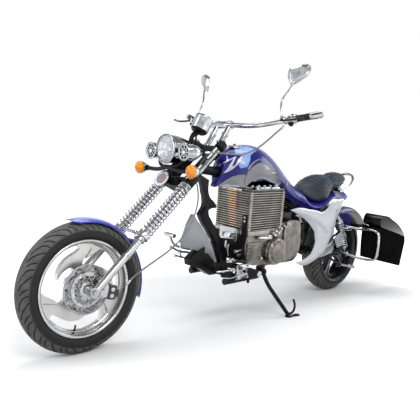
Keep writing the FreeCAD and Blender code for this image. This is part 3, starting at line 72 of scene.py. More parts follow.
def aim(origin, direction, across=(0, 0, 1)):
    """Frame with Z along a direction, from a point in millimetres; X lies near across."""
    z = Vector(direction).normalized()
    y = z.cross(Vector(across))
    if y.length < 1e-4:
        y = z.cross(Vector((1, 0.3, 0)))
    y.normalize()
    x = y.cross(z)
    place = Matrix((x, y, z)).transposed().to_4x4()
    place.translation = Vector(origin) * MM
    return place


def outward(sign, x, y, z):
    """Frame on one flank, its Z pointing away from the machine."""
    return aim((x, sign * y, z), (0, sign, 0))


def flank(sign, near, far):
    """Lowest and highest Y between two distances on one side."""
    return sorted((sign * near, sign * far))


def linked(name, data):
    """New object in the scene."""
    made = bpy.data.objects.new(name, data)
    bpy.context.scene.collection.objects.link(made)
    return made


# ---------------- shader helpers
def plug(tree, kind, settings=None, **inputs):
    """Adds a node; inputs are values or (node, output) links, by socket name or number."""
    node = tree.nodes.new(kind)
    for key, value in (settings or {}).items():
        setattr(node, key, value)
    for key, value in inputs.items():
        socket = node.inputs[int(key[1:])] if key[0] == "_" else node.inputs[key.replace("_", " ")]
        if isinstance(value, tuple) and len(value) == 2 and isinstance(value[0], bpy.types.Node):
            tree.links.new(value[0].outputs[value[1]], socket)
        else:
            socket.default_value = value
    return node


def maths(tree, operation, *values):
    inputs = {f"_{k}": value for k, value in enumerate(values)}
    return plug(tree, "ShaderNodeMath", {"operation": operation}, **inputs)


def effect(name, inputs, outputs, kind="ShaderNodeTree"):
    """Empty node group with its named sockets."""
    tree = bpy.data.node_groups.new(name, kind)
    for label, sort, value in inputs:
        socket = tree.interface.new_socket(name=label, in_out="INPUT", socket_type="NodeSocket" + sort)
        if value is not None:
            socket.default_value = value
    for label, sort in outputs:
        tree.interface.new_socket(name=label, in_out="OUTPUT", socket_type="NodeSocket" + sort)
    return tree, tree.nodes.new("NodeGroupInput"), tree.nodes.new("NodeGroupOutput")


def mottle_effect():
    """Slow drift of a colour and its gloss over a surface, with fine specks."""
    tree, take, give = effect(
        "Mottle",
        [("Position", "Vector", None), ("Colour", "Color", (0.5, 0.5, 0.5, 1)),
         ("Second", "Color", (0.4, 0.4, 0.4, 1)), ("Size", "Float", 20.0),
         ("Amount", "Float", 0.5), ("Rough", "Float", 0.3), ("Rough drift", "Float", 0.1)],
        [("Colour", "Color"), ("Roughness", "Float")],
    )
    wide = plug(tree, "ShaderNodeTexNoise", Vector=(take, 0), Scale=(take, 3), Detail=4.0)
    fine = plug(tree, "ShaderNodeTexNoise", Vector=(take, 0), Scale=900.0, Detail=2.0)
    both = maths(tree, "MULTIPLY_ADD", (fine, 0), 0.3, (wide, 0))
    mask = plug(tree, "ShaderNodeMapRange", Value=(both, 0), From_Min=0.45, From_Max=0.85)
    share = maths(tree, "MULTIPLY", (mask, 0), (take, 4))
    mix = plug(tree, "ShaderNodeMix", {"data_type": "RGBA"}, _0=(share, 0), _6=(take, 1), _7=(take, 2))
    drift = maths(tree, "MULTIPLY_ADD", (mask, 0), (take, 6), (take, 5))
    tree.links.new(mix.outputs[2], give.inputs[0])
    tree.links.new(drift.outputs[0], give.inputs[1])
    return tree


def grain_effect():
    """Fine pebble or ripple height from two sizes of noise."""
    tree, take, give = effect(
        "Grain",
        [("Position", "Vector", None), ("Size", "Float", 300.0)],
        [("Height", "Float")],
    )
    coarse = plug(tree, "ShaderNodeTexNoise", Vector=(take, 0), Scale=(take, 1), Detail=3.0)
    finer = maths(tree, "MULTIPLY", (take, 1), 3.1)
    fine = plug(tree, "ShaderNodeTexNoise", Vector=(take, 0), Scale=(finer, 0), Detail=1.0)
    both = maths(tree, "MULTIPLY_ADD", (fine, 0), 0.4, (coarse, 0))
    tree.links.new(both.outputs[0], give.inputs[0])
    return tree


def pebble_effect():
    """Cells of leather grain: rounded pebbles with creases between them."""
    tree, take, give = effect(
        "Pebble", [("Position", "Vector", None), ("Size", "Float", 500.0)], [("Height", "Float")]
    )
    cells = plug(tree, "ShaderNodeTexVoronoi", {"feature": "DISTANCE_TO_EDGE"}, Vector=(take, 0),
                 Scale=(take, 1))
    rise = plug(tree, "ShaderNodeMapRange", Value=(cells, 0), From_Min=0.0, From_Max=0.28)
    tree.links.new(rise.outputs[0], give.inputs[0])
    return tree


def area_effect():
    """Mask from a signed distance in millimetres: 1 inside, 0 outside, with a soft edge."""
    tree, take, give = effect(
        "Painted area", [("Distance", "Float", 0.0), ("Softness", "Float", 1.0)], [("Mask", "Float")]
    )
    low = maths(tree, "MULTIPLY", (take, 1), -1.0)
    mask = plug(tree, "ShaderNodeMapRange", {"interpolation_type": "SMOOTHSTEP"},
                Value=(take, 0), From_Min=(low, 0), From_Max=(take, 1))
    tree.links.new(mask.outputs[0], give.inputs[0])
    return tree


MOTTLE, GRAIN, PEBBLE, AREA = mottle_effect(), grain_effect(), pebble_effect(), area_effect()


class Finish:
    """A material whose nodes are added step by step."""

    def __init__(self, name, metallic=0.0, **plain):
        self.material = bpy.data.materials.new(name)
        self.material.use_nodes = True
        self.tree = self.material.node_tree
        self.shader = self.tree.nodes["Principled BSDF"]
        self.shader.inputs["Metallic"].default_value = metallic
        for key, value in plain.items():
            self.shader.inputs[key.replace("_", " ")].default_value = value
        self.position = (plug(self.tree, "ShaderNodeTexCoord"), 3)

    def link(self, source, socket):
        self.tree.links.new(source[0].outputs[source[1]], self.shader.inputs[socket])

    def use(self, group, **inputs):
        return plug(self.tree, "ShaderNodeGroup", {"node_tree": group}, **inputs)

    def mottle(self, colour, second, size, amount, rough, drift):
        """Colour and roughness that drift over the surface, not yet on the shader."""
        return self.use(MOTTLE, Position=self.position, Colour=(*colour, 1), Second=(*second, 1),
                        Size=size, Amount=amount, Rough=rough, Rough_drift=drift)

    def mottled(self, *drifting):
        """The same, as the base colour and roughness."""
        node = self.mottle(*drifting)
        self.link((node, 0), "Base Color")
        self.link((node, 1), "Roughness")
        return node

    def bumped(self, height, distance, strength=1.0):
        bump = plug(self.tree, "ShaderNodeBump", Height=height, Distance=distance, Strength=strength)
        self.link((bump, 0), "Normal")
        return self

    def grained(self, size, distance):
        node = self.use(GRAIN, Position=self.position, Size=size)
        return self.bumped((node, 0), distance)

    def area(self, attribute, softness=0.7):
        """Mask of an outline held in a vertex attribute."""
        read = plug(self.tree, "ShaderNodeAttribute", {"attribute_name": attribute})
        return (self.use(AREA, Distance=(read, 2), Softness=softness), 0)

    def mixed(self, mask, first, second):
        """Colour mix; each colour is a link or a plain colour."""
        pair = [side if isinstance(side[0], bpy.types.Node) else (*side, 1) for side in (first, second)]
        return (plug(self.tree, "ShaderNodeMix", {"data_type": "RGBA"}, _0=mask, _6=pair[0], _7=pair[1]), 2)


def metal(name, colour, second, rough, drift, size=14, amount=0.6, grain=(220, 0.00003)):
    made = Finish(name, 1.0)
    made.mottled(colour, second, size, amount, rough, drift)
    return made.grained(*grain).material


def paint(name, colour, second, rough, drift, coat=0.6, grain=(160, 0.00004), metallic=0.0, gloss=0.3):
    made = Finish(name, metallic, Coat_Weight=coat, Coat_Roughness=0.05, Specular_IOR_Level=gloss)
    made.mottled(colour, second, 9, 0.6, rough, drift)
    return made.grained(*grain).material


# Chrome's darker second colour, mottled in wide patches, is painted reflection: dark bands standing in for
# what the chrome mirrors.
CHROME = metal("chrome", (0.56, 0.57, 0.59), (0.2, 0.21, 0.23), 0.06, 0.06, size=38, amount=0.85)
BRIGHT_ALLOY = metal("bright_alloy", (0.56, 0.56, 0.56), (0.36, 0.36, 0.36), 0.2, 0.12, grain=(400, 0.00006))
CAST_ALLOY = metal("cast_alloy", (0.56, 0.56, 0.55), (0.44, 0.44, 0.43), 0.34, 0.1, grain=(700, 0.00012))
DISC_STEEL = metal("disc_steel", (0.36, 0.36, 0.37), (0.25, 0.25, 0.26), 0.3, 0.12, grain=(500, 0.00008))
DARK_ALLOY = metal("dark_alloy", (0.07, 0.07, 0.075), (0.035, 0.035, 0.04), 0.3, 0.12, grain=(500, 0.00008))
ENGINE_ALLOY = metal("engine_alloy", (0.24, 0.222, 0.2), (0.09, 0.082, 0.073), 0.2, 0.14, size=22, amount=0.8,
                     grain=(500, 0.0001))
FIN_ALLOY = metal("fin_alloy", (0.36, 0.338, 0.315), (0.2, 0.183, 0.165), 0.24, 0.12, size=30,
                  grain=(600, 0.0001))
FRAME_BLACK = paint("frame_black", (0.004, 0.004, 0.005), (0.01, 0.01, 0.011), 0.26, 0.1, 0.0, gloss=0.15)
GLOSS_BLACK = paint("gloss_black", (0.003, 0.003, 0.004), (0.007, 0.007, 0.008), 0.12, 0.06, 0.25, gloss=0.15)
SATIN_BLACK = paint("satin_black", (0.006, 0.006, 0.007), (0.012, 0.012, 0.013), 0.4, 0.1, 0.0, (500, 0.0001),
                    gloss=0.15)
GREY_PAINT = paint("grey_paint", (0.29, 0.31, 0.33), (0.235, 0.255, 0.275), 0.32, 0.06, 0.4, metallic=0.25)
SILVER_PAINT = paint("silver_paint", (0.56, 0.585, 0.61), (0.49, 0.515, 0.55), 0.25, 0.06, 0.5, metallic=0.15)
BLUE_PAINT = paint("blue_paint", (0.014, 0.01, 0.2), (0.008, 0.006, 0.12), 0.2, 0.06, 0.3, metallic=0.1)
GRIP_RUBBER = paint("grip_rubber", (0.011, 0.011, 0.011), (0.02, 0.02, 0.02), 0.6, 0.15, 0.0, (900, 0.0002))
DARK_RED = paint("reflector_red", (0.16, 0.008, 0.02), (0.1, 0.006, 0.012), 0.15, 0.05, 1.0)
DIAL_WHITE = paint("dial_white", (0.8, 0.8, 0.78), (0.7, 0.7, 0.68), 0.5, 0.1, 0.0)


def leather():
    made = Finish("seat_leather", Specular_IOR_Level=0.3, Coat_Weight=0.12, Coat_Roughness=0.25)
    # Black leather tinted blue, with lighter blue patches: a painted bluish sheen.
    made.mottled((0.01, 0.017, 0.028), (0.03, 0.052, 0.088), 6, 0.7, 0.34, 0.12)
    node = made.use(PEBBLE, Position=made.position, Size=520.0)
    return made.bumped((node, 0), 0.00025, 0.8).material


def tyre_rubber():
    """Grey scuffed tread and dark sidewalls, told apart by the tread attribute."""
    made = Finish("tyre_rubber", Specular_IOR_Level=0.25)
    tread = made.area("tread", 6)
    scuffed = made.mottled((0.13, 0.13, 0.125), (0.075, 0.075, 0.072), 30, 0.8, 0.62, 0.18)
    groove = made.area("groove", 0.9)
    wall = made.mottle((0.009, 0.009, 0.01), (0.02, 0.02, 0.021), 12, 0.7, 0.42, 0.14)
    skin = made.mixed(tread, (wall, 0), (scuffed, 0))
    made.link(made.mixed(groove, skin, (0.012, 0.012, 0.012)), "Base Color")
    made.link((plug(made.tree, "ShaderNodeMix", _0=tread, _2=(wall, 1), _3=(scuffed, 1)), 0), "Roughness")
    return made.grained(500, 0.00025).material


def tank_paint():
    """Deep blue with grey panels, pale flames, a painted highlight on the top and painted shade along the
    panel edges, each from an outline's distance.
    """
    made = Finish("tank_paint", 0.05, Coat_Weight=0.3, Coat_Roughness=0.04, Specular_IOR_Level=0.25)
    blue = made.mottled((0.014, 0.01, 0.21), (0.008, 0.006, 0.12), 7, 0.7, 0.2, 0.06)
    grey = made.mottle((0.27, 0.28, 0.305), (0.2, 0.21, 0.235), 8, 0.7, 0.3, 0.06)
    # Pale blue painted highlight where the tank top catches the light.
    sky = made.mottle((0.16, 0.30, 0.80), (0.38, 0.56, 0.92), 16, 0.9, 0.2, 0.05)
    coat = made.mixed(made.area("sky", 3.0), (blue, 0), (sky, 0))
    coat = made.mixed(made.area("flames", 0.8), coat, (0.72, 0.76, 0.9))
    coat = made.mixed(made.area("grey", 0.8), coat, (grey, 0))
    coat = made.mixed(made.area("shade", 1.2), coat, (0.012, 0.01, 0.07))
    made.link(coat, "Base Color")
    return made.grained(160, 0.00003).material


def two_tone(name, attribute, first, second, softness):
    """Two colours either side of an outline: two paints, or a paint and its painted highlight."""
    made = Finish(name, Coat_Weight=0.4, Coat_Roughness=0.05, Specular_IOR_Level=0.3)
    rough = 0.14
    base = made.mottled(first[0], first[1], 9, 0.6, rough, 0.06)
    other = made.mottle(second[0], second[1], 9, 0.6, rough, 0.06)
    made.link(made.mixed(made.area(attribute, softness), (base, 0), (other, 0)), "Base Color")
    return made.grained(160, 0.00004).material


def braid():
    """Woven steel braid under clear sleeve, laid out by a UV map named along."""
    made = Finish("hose_braid", 0.6, Coat_Weight=0.6, Coat_Roughness=0.15)
    where = plug(made.tree, "ShaderNodeUVMap", {"uv_map": "along"})
    weave = plug(made.tree, "ShaderNodeTexBrick", {"offset": 0.5}, Vector=(where, 0),
                 Color1=(0.62, 0.64, 0.62, 1), Color2=(0.42, 0.44, 0.43, 1),
                 Mortar=(0.16, 0.17, 0.16, 1), Scale=1.0)
    weave.inputs["Mortar Size"].default_value = 0.05
    weave.inputs["Brick Width"].default_value = 0.5
    weave.inputs["Row Height"].default_value = 0.25
    made.link((weave, 0), "Base Color")
    made.shader.inputs["Roughness"].default_value = 0.35
    return made.bumped((weave, 1), 0.0003, 0.8).material


def amber():
    made = Finish("amber_lens", Coat_Weight=0.35, Coat_Roughness=0.03, Subsurface_Weight=0.25,
                  Specular_IOR_Level=0.3)
    made.shader.inputs["Subsurface Radius"].default_value = (0.02, 0.008, 0.001)
    made.mottled((0.95, 0.27, 0.003), (1.0, 0.38, 0.006), 60, 0.9, 0.16, 0.05)
    return made.grained(120, 0.0004).material


def lamp_glass():
    made = Finish("lamp_glass", Alpha=0.16, Coat_Weight=0.6, Coat_Roughness=0.03)
    made.mottled((0.9, 0.92, 0.95), (0.8, 0.83, 0.86), 20, 0.4, 0.03, 0.03)
    return made.grained(60, 0.0002).material


LEATHER, TYRE, TANK_PAINT, BRAID = leather(), tyre_rubber(), tank_paint(), braid()
AMBER, LAMP_GLASS = amber(), lamp_glass()
FENDER_PAINT = two_tone("fender_paint", "blue", ((0.006, 0.006, 0.007), (0.012, 0.012, 0.014)),
                        ((0.012, 0.01, 0.13), (0.008, 0.007, 0.08)), 2.0)


# ---------------- how pieces are made
def settle(piece, body, slot, *stands_for):
    """Rides a piece on its body and hides the CAD parts it stands for; its slot is not used."""
    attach(piece, body)
    if stands_for:
        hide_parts(*stands_for)
    return piece


def soften(piece, width, segments=2, angle=35, weld=True):
    """Small rounded edges on a hard piece."""
    if weld:
        piece.modifiers.new("weld", "WELD").merge_threshold = SLIVER
    flat = piece.modifiers.new("flat", "DECIMATE")
    flat.decimate_type = "DISSOLVE"
    flat.angle_limit = math.radians(1.0)
    bevel = piece.modifiers.new("edge", "BEVEL")
    bevel.width = width * MM
    bevel.segments = segments
    bevel.limit_method = "ANGLE"
    bevel.angle_limit = math.radians(angle)
    bevel.harden_normals = True
    piece.data.shade_smooth()


def paint_only(piece, material):
    piece.data.materials.clear()
    piece.data.materials.append(material)


def dress(node, material, width):
    """A CAD node that keeps its shape: softened edges and a real finish."""
    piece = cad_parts[node]
    paint_only(piece, material)
    soften(piece, width)


class Maker:
    """Collects shapes drawn in millimetres in a local frame into one mesh."""

    def __init__(self, place):
        self.mesh = bmesh.new()
        self.place = place

    def add(self, vertices, faces, place=None):
        """Vertices in mm, faces by index, in this maker's frame or one inside it."""
        to = self.place @ place if place is not None else self.place
        made = [self.mesh.verts.new(to @ (Vector(v) * MM)) for v in vertices]
        for face in faces:
            try:
                self.mesh.faces.new([made[i] for i in face])
            except ValueError:
                continue

    def lathe(self, profile, place=None, segments=48, closed=False):
        """Turned shape about the local Z from (radius, height) points; closed joins last to first."""
        rings, vertices = [], []
        for radius, height in profile:
            if radius < 0.01:
                rings.append([len(vertices)] * segments)
                vertices.append((0, 0, height))
                continue
            rings.append(list(range(len(vertices), len(vertices) + segments)))
            for k in range(segments):
                a = 2 * math.pi * k / segments
                vertices.append((radius * math.cos(a), radius * math.sin(a), height))
        faces = []
        pairs = list(zip(rings, rings[1:] + ([rings[0]] if closed else [])))
        for low, high in pairs if closed else pairs[: len(rings) - 1]:
            for k in range(segments):
                n = (k + 1) % segments
                ring = [low[k], low[n], high[n], high[k]]
                face = [i for j, i in enumerate(ring) if i != ring[j - 1]]
                if len(face) > 2:
                    faces.append(face)
        self.add(vertices, faces, place)

    def rod(self, start, end, radius, segments=24, inset=0.0):
        """Round bar between two points with flat or chamfered ends."""
        start, end = Vector(start), Vector(end)
        length = (end - start).length
        profile = [(0, 0), (radius - inset, 0), (radius, inset), (radius, length - inset),
                   (radius - inset, length), (0, length)]
        if not inset:
            profile = [(0, 0), (radius, 0), (radius, length), (0, length)]
        self.lathe(profile, aim(start, end - start), segments)

    def tube(self, points, radius, sides=14, steps=8):
        """Round tube along a smooth line through the points."""
        line = through(points, steps)
        rings, vertices, faces = [], [], []
        side = None
        for k, point in enumerate(line):
            along = (line[min(k + 1, len(line) - 1)] - line[max(k - 1, 0)]).normalized()
            if side is None:
                side = along.orthogonal().normalized()
            side = (side - along * side.dot(along)).normalized()
            other = along.cross(side)
            rings.append(range(len(vertices), len(vertices) + sides))
            for n in range(sides):
                a = 2 * math.pi * n / sides
                vertices.append(point + (side * math.cos(a) + other * math.sin(a)) * radius)
        for low, high in zip(rings, rings[1:]):
            for n in range(sides):
                m = (n + 1) % sides
                faces.append([low[n], low[m], high[m], high[n]])
        faces.append(list(reversed(rings[0])))
        faces.append(list(rings[-1]))
        self.add(vertices, faces)

    def plate(self, outer, low, high, holes=(), place=None):
        """Flat plate from (x, y) outlines, from low to high along Z."""
        flat = [Vector(p) for p in outer]
        loops = [list(range(len(flat)))]
        for hole in holes:
            loops.append(list(range(len(flat), len(flat) + len(hole))))
            flat += [Vector(p) for p in hole]
        edges = [(loop[i], loop[(i + 1) % len(loop)]) for loop in loops for i in range(len(loop))]
        points, _, cells, *_ = delaunay_2d_cdt(flat, edges, [], 3 if not holes else 4, 1e-4)
        if len(points) != len(flat):
            raise ValueError("an outline crosses itself")
        n = len(points)
        vertices = [(p.x, p.y, low) for p in points] + [(p.x, p.y, high) for p in points]
        faces = [list(reversed(c)) for c in cells] + [[i + n for i in c] for c in cells]
        for loop in loops:
            for i, here in enumerate(loop):
                there = loop[(i + 1) % len(loop)]
                faces.append([here, there, there + n, here + n])
        self.add(vertices, faces, place)

    def block(self, low, high, place=None):
        (x0, y0, z0), (x1, y1, z1) = low, high
        vertices = [(x, y, z) for z in (z0, z1) for y in (y0, y1) for x in (x0, x1)]
        faces = [(0, 2, 3, 1), (4, 5, 7, 6), (0, 1, 5, 4), (2, 6, 7, 3), (0, 4, 6, 2), (1, 3, 7, 5)]
        self.add(vertices, faces, place)

    def ball(self, centre, radius, direction=(0, 0, 1), segments=24):
        profile = [(radius * math.sin(math.pi * k / 12), -radius * math.cos(math.pi * k / 12))
                   for k in range(13)]
        self.lathe(profile, aim(centre, direction), segments)

    def bolt(self, centre, direction, radius, height):
        """Hexagon head on a washer."""
        place = aim(centre, direction)
        self.lathe([(0, 0), (radius * 1.35, 0), (radius * 1.35, 1.2), (0, 1.2)], place, 20)
        self.lathe([(0, 1), (radius, 1), (radius, height), (radius * 0.8, height + 0.8), (0, height + 0.8)],
                   place, 6)

    def piece(self, name, material, body, slot, *stands_for, edge=0.0, angle=35, segments=2):
        """Closes the collection into a named piece."""
        bmesh.ops.recalc_face_normals(self.mesh, faces=self.mesh.faces)
        data = bpy.data.meshes.new(name)
        self.mesh.to_mesh(data)
        self.mesh.free()
        data.materials.append(material)
        made = linked(name, data)
        if edge:
            soften(made, edge, segments, angle, weld=False)
        else:
            data.shade_smooth()
            data.set_sharp_from_angle(angle=math.radians(angle))
        return settle(made, body, slot, *stands_for)


def eased(a, b, c, d, t):
    """Point a share t of the way from b to c, on a smooth curve past a and d."""
    return 0.5 * ((2 * b) + (c - a) * t + (2 * a - 5 * b + 4 * c - d) * t * t
                  + (3 * b - a - 3 * c + d) * t ** 3)


def through(points, steps):
    """Smooth line through points, in the points' own units."""
    points = [Vector(p) for p in points]
    if len(points) == 2 or steps == 1:
        return points
    ends = [points[0] * 2 - points[1], *points, points[-1] * 2 - points[-2]]
    line = []
    for a, b, c, d in zip(ends, ends[1:], ends[2:], ends[3:]):
        line += [eased(a, b, c, d, k / steps) for k in range(steps)]
    line.append(points[-1])
    return line


def loop_through(points, steps):
    """Smooth closed outline through (x, y) points."""
    points = [Vector(p) for p in points]
    line, count = [], len(points)
    for i in range(count):
        a, b, c, d = (points[(i + k) % count] for k in (-1, 0, 1, 2))
        line += [eased(a, b, c, d, k / steps) for k in range(steps)]
    return line


def polar(radius, degrees):
    a = math.radians(degrees)
    return (radius * math.cos(a), radius * math.sin(a))


def ring_of(radius, count, centre=(0, 0)):
    """Outline of a circle."""
    return [(centre[0] + radius * math.cos(2 * math.pi * k / count),
             centre[1] + radius * math.sin(2 * math.pi * k / count)) for k in range(count)]


def distance_inside(points, outline):
    """Signed distance of each (x, y) point from a closed outline: positive inside."""
    p = np.asarray(points, float)
    ring = np.asarray([tuple(v)[:2] for v in outline], float)
    best = np.full(len(p), 1e9)
    inside = np.zeros(len(p), bool)
    for a, b in zip(ring, np.roll(ring, -1, 0)):
        run = b - a
        t = np.clip(((p - a) @ run) / max(run @ run, 1e-9), 0, 1)
        best = np.minimum(best, np.hypot(*(p - a - t[:, None] * run).T))
        crosses = (a[1] > p[:, 1]) != (b[1] > p[:, 1])
        with np.errstate(divide="ignore", invalid="ignore"):
            at = (b[0] - a[0]) * (p[:, 1] - a[1]) / (b[1] - a[1]) + a[0]
        inside ^= crosses & (p[:, 0] < at)
    return np.where(inside, best, -best)


def store(piece, name, values):
    """Vertex attribute that a material reads."""
    field = piece.data.attributes.new(name, "FLOAT", "POINT")
    field.data.foreach_set("value", np.asarray(values, np.float32))


def local_points(piece, place):
    """A piece's vertices in a local frame, in millimetres."""
    back = np.array(place.inverted())
    co = np.array([v.co for v in piece.data.vertices], float)
    return (co @ back[:3, :3].T + back[:3, 3]) / MM


def moulded(node, name, voxel, rounds):
    """Fine even mesh of a CAD node's solid, its edges a little rounded."""
    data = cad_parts[node].data.copy()
    data.name = name
    piece = linked(name, data)
    piece.modifiers.new("weld", "WELD").merge_threshold = SLIVER
    remesh = piece.modifiers.new("even", "REMESH")
    remesh.mode = "VOXEL"
    remesh.voxel_size = voxel * MM
    smooth = piece.modifiers.new("smooth", "SMOOTH")
    smooth.iterations = rounds
    smooth.factor = 0.5
    apply_all(piece)
    piece.data.shade_smooth()
    return piece


def apply_all(piece):
    """Turns a piece's live modifiers into plain mesh."""
    graph = bpy.context.evaluated_depsgraph_get()
    solid = bpy.data.meshes.new_from_object(piece.evaluated_get(graph))
    piece.modifiers.clear()
    old, piece.data = piece.data, solid
    bpy.data.meshes.remove(old)
    solid.name = piece.name


# ---------------- geometry trees
def geometry_tree(name, inputs):
    """Empty geometry tree with named sizes, ending in one geometry."""
    return effect(name, inputs, [("Geometry", "Geometry")], "GeometryNodeTree")


def finish_tree(tree, last, material, give):
    """Realizes what a tree made and gives it its material."""
    real = plug(tree, "GeometryNodeRealizeInstances", Geometry=(last, 0))
    painted = plug(tree, "GeometryNodeSetMaterial", Geometry=(real, 0), Material=material)
    tree.links.new(painted.outputs[0], give.inputs[0])
    return tree


def copied(tree, points, instance, **turned):
    return plug(tree, "GeometryNodeInstanceOnPoints", Points=points, Instance=instance, **turned)


def coil_tree():
    """Two open coil springs side by side."""
    tree, take, give = geometry_tree("Coil pair", [
        ("Radius", "Float", 0.0278), ("Wire", "Float", 0.0042), ("Height", "Float", 0.297),
        ("Turns", "Float", 14.5), ("Spread", "Float", 0.1), ("Material", "Material", None)])
    line = plug(tree, "GeometryNodeCurveSpiral", Resolution=36, Rotations=(take, 3), Start_Radius=(take, 0),
                End_Radius=(take, 0), Height=(take, 2))
    ring = plug(tree, "GeometryNodeCurvePrimitiveCircle", Resolution=14, Radius=(take, 1))
    wire = plug(tree, "GeometryNodeCurveToMesh", Curve=(line, 0), Profile_Curve=(ring, 0), Fill_Caps=True)
    across = maths(tree, "MULTIPLY", (take, 4), -2.0)
    start = plug(tree, "ShaderNodeCombineXYZ", Y=(take, 4))
    run = plug(tree, "ShaderNodeCombineXYZ", Y=(across, 0))
    pair = plug(tree, "GeometryNodeMeshLine", Count=2, Start_Location=(start, 0), Offset=(run, 0))
    return finish_tree(tree, copied(tree, (pair, 0), (wire, 0)), (take, 5), give)


def fin_tree():
    """Stack of thin plates with rounded corners."""
    tree, take, give = geometry_tree("Fin stack", [
        ("Length", "Float", 0.28), ("Width", "Float", 0.26), ("Corner", "Float", 0.01),
        ("Thickness", "Float", 0.003), ("Count", "Int", 17), ("Pitch", "Float", 0.0124),
        ("Material", "Material", None)])
    frame_line = plug(tree, "GeometryNodeCurvePrimitiveQuadrilateral", Width=(take, 0), Height=(take, 1))
    rounded = plug(tree, "GeometryNodeFilletCurve", {"mode": "POLY"}, Curve=(frame_line, 0), Count=6,
                   Radius=(take, 2))
    face = plug(tree, "GeometryNodeFillCurve", {"mode": "NGONS"}, Curve=(rounded, 0))
    raised = plug(tree, "GeometryNodeExtrudeMesh", Mesh=(face, 0), Offset_Scale=(take, 3), Individual=False)
    under = plug(tree, "GeometryNodeFlipFaces", Mesh=(face, 0))
    both = plug(tree, "GeometryNodeJoinGeometry", Geometry=(raised, 0))
    tree.links.new(under.outputs[0], both.inputs[0])
    closed = plug(tree, "GeometryNodeMergeByDistance", Geometry=(both, 0), Distance=0.00001)
    step = plug(tree, "ShaderNodeCombineXYZ", Z=(take, 5))
    line = plug(tree, "GeometryNodeMeshLine", Count=(take, 4), Offset=(step, 0))
    return finish_tree(tree, copied(tree, (line, 0), (closed, 0)), (take, 6), give)


def screw_tree():
    """Hexagon head on a washer at every vertex, pointing along its out attribute."""
    tree, take, give = geometry_tree("Screw heads", [
        ("Geometry", "Geometry", None), ("Radius", "Float", 0.005), ("Height", "Float", 0.004),
        ("Sides", "Int", 6), ("Material", "Material", None)])
    wide = maths(tree, "MULTIPLY", (take, 1), 1.4)
    head = plug(tree, "GeometryNodeMeshCylinder", Vertices=(take, 3), Radius=(take, 1), Depth=(take, 2))
    washer = plug(tree, "GeometryNodeMeshCylinder", Vertices=20, Radius=(wide, 0), Depth=0.002)
    up = maths(tree, "MULTIPLY", (take, 2), 0.5)
    lift = plug(tree, "ShaderNodeCombineXYZ", Z=(up, 0))
    raised = plug(tree, "GeometryNodeTransform", Geometry=(head, 0), Translation=(lift, 0))
    both = plug(tree, "GeometryNodeJoinGeometry", Geometry=(raised, 0))
    tree.links.new(washer.outputs[0], both.inputs[0])
    out = plug(tree, "GeometryNodeInputNamedAttribute", {"data_type": "FLOAT_VECTOR"}, Name="out")
    face = plug(tree, "FunctionNodeAlignRotationToVector", {"axis": "Z"}, Vector=(out, 0))
    return finish_tree(tree, copied(tree, (take, 0), (both, 0), Rotation=(face, 0)), (take, 4), give)


def stitch_tree():
    """Short thread capsules laid end to end along a line."""
    tree, take, give = geometry_tree("Stitches", [
        ("Geometry", "Geometry", None), ("Length", "Float", 0.004), ("Gap", "Float", 0.0022),
        ("Thread", "Float", 0.0007), ("Material", "Material", None)])
    pitch = maths(tree, "ADD", (take, 1), (take, 2))
    line = plug(tree, "GeometryNodeMeshToCurve", Mesh=(take, 0))
    spots = plug(tree, "GeometryNodeCurveToPoints", {"mode": "LENGTH"}, Curve=(line, 0), Length=(pitch, 0))
    thread = plug(tree, "GeometryNodeMeshCylinder", Vertices=8, Radius=(take, 3), Depth=(take, 1))
    along = plug(tree, "FunctionNodeAlignRotationToVector", {"axis": "Z"}, Vector=(spots, 1))
    return finish_tree(tree, copied(tree, (spots, 0), (thread, 0), Rotation=(along, 0)), (take, 4), give)


def grow(name, tree, place, seed=None, angle=35, **values):
    """Plain mesh that a geometry tree makes, moved into a frame."""
    piece = linked(name, seed or bpy.data.meshes.new(name + "_seed"))
    modifier = piece.modifiers.new("grow", "NODES")
    modifier.node_group = tree
    for item in tree.interface.items_tree:
        value = values.get(item.name.lower())
        if item.in_out == "INPUT" and value is not None:
            modifier[item.identifier] = value
    apply_all(piece)
    piece.data.transform(place)
    piece.data.shade_smooth()
    piece.data.set_sharp_from_angle(angle=math.radians(angle))
    return piece


COIL, FINS, SCREWS, STITCHES = coil_tree(), fin_tree(), screw_tree(), stitch_tree()


def screws(name, spots, radius, height, place, body, sides=6):
    """Screw heads at (point, direction) spots in millimetres."""
    seed = bpy.data.meshes.new(name + "_seed")
    seed.from_pydata([Vector(point) * MM for point, _ in spots], [], [])
    field = seed.attributes.new("out", "FLOAT_VECTOR", "POINT")
    for item, (_, direction) in zip(field.data, spots):
        item.vector = Vector(direction).normalized()
    piece = grow(name, SCREWS, place, seed, radius=radius * MM, height=height * MM, sides=sides,
                 material=CHROME)
    settle(piece, body, "chrome")


def on_circle(centre, axis, radius, count, start=0.0, across=(0, 0, 1)):
    """Spots round a circle, pointing along its axis."""
    place = aim(centre, axis, across)
    spots = []
    for k in range(count):
        x, y = polar(radius, start + 360 * k / count)
        spots.append(((place @ (Vector((x, y, 0)) * MM)) / MM, axis))
    return spots


# ---------------- wheels
TREAD_PITCH = 24
TREAD_GROOVES = (  # points of (angle over the crown, turn round the wheel), in degrees
    ((17, -11.5), (27, -5.3), (40, -0.5), (53, 1.5), (66, 2.4)),
    ((31, 2.8), (42, 5.8), (59, 8.2), (64, 8.5)),
    ((20, 5.9), (30, 10.3), (44, 14.1), (57, 17.4), (68, 20.2)),
)


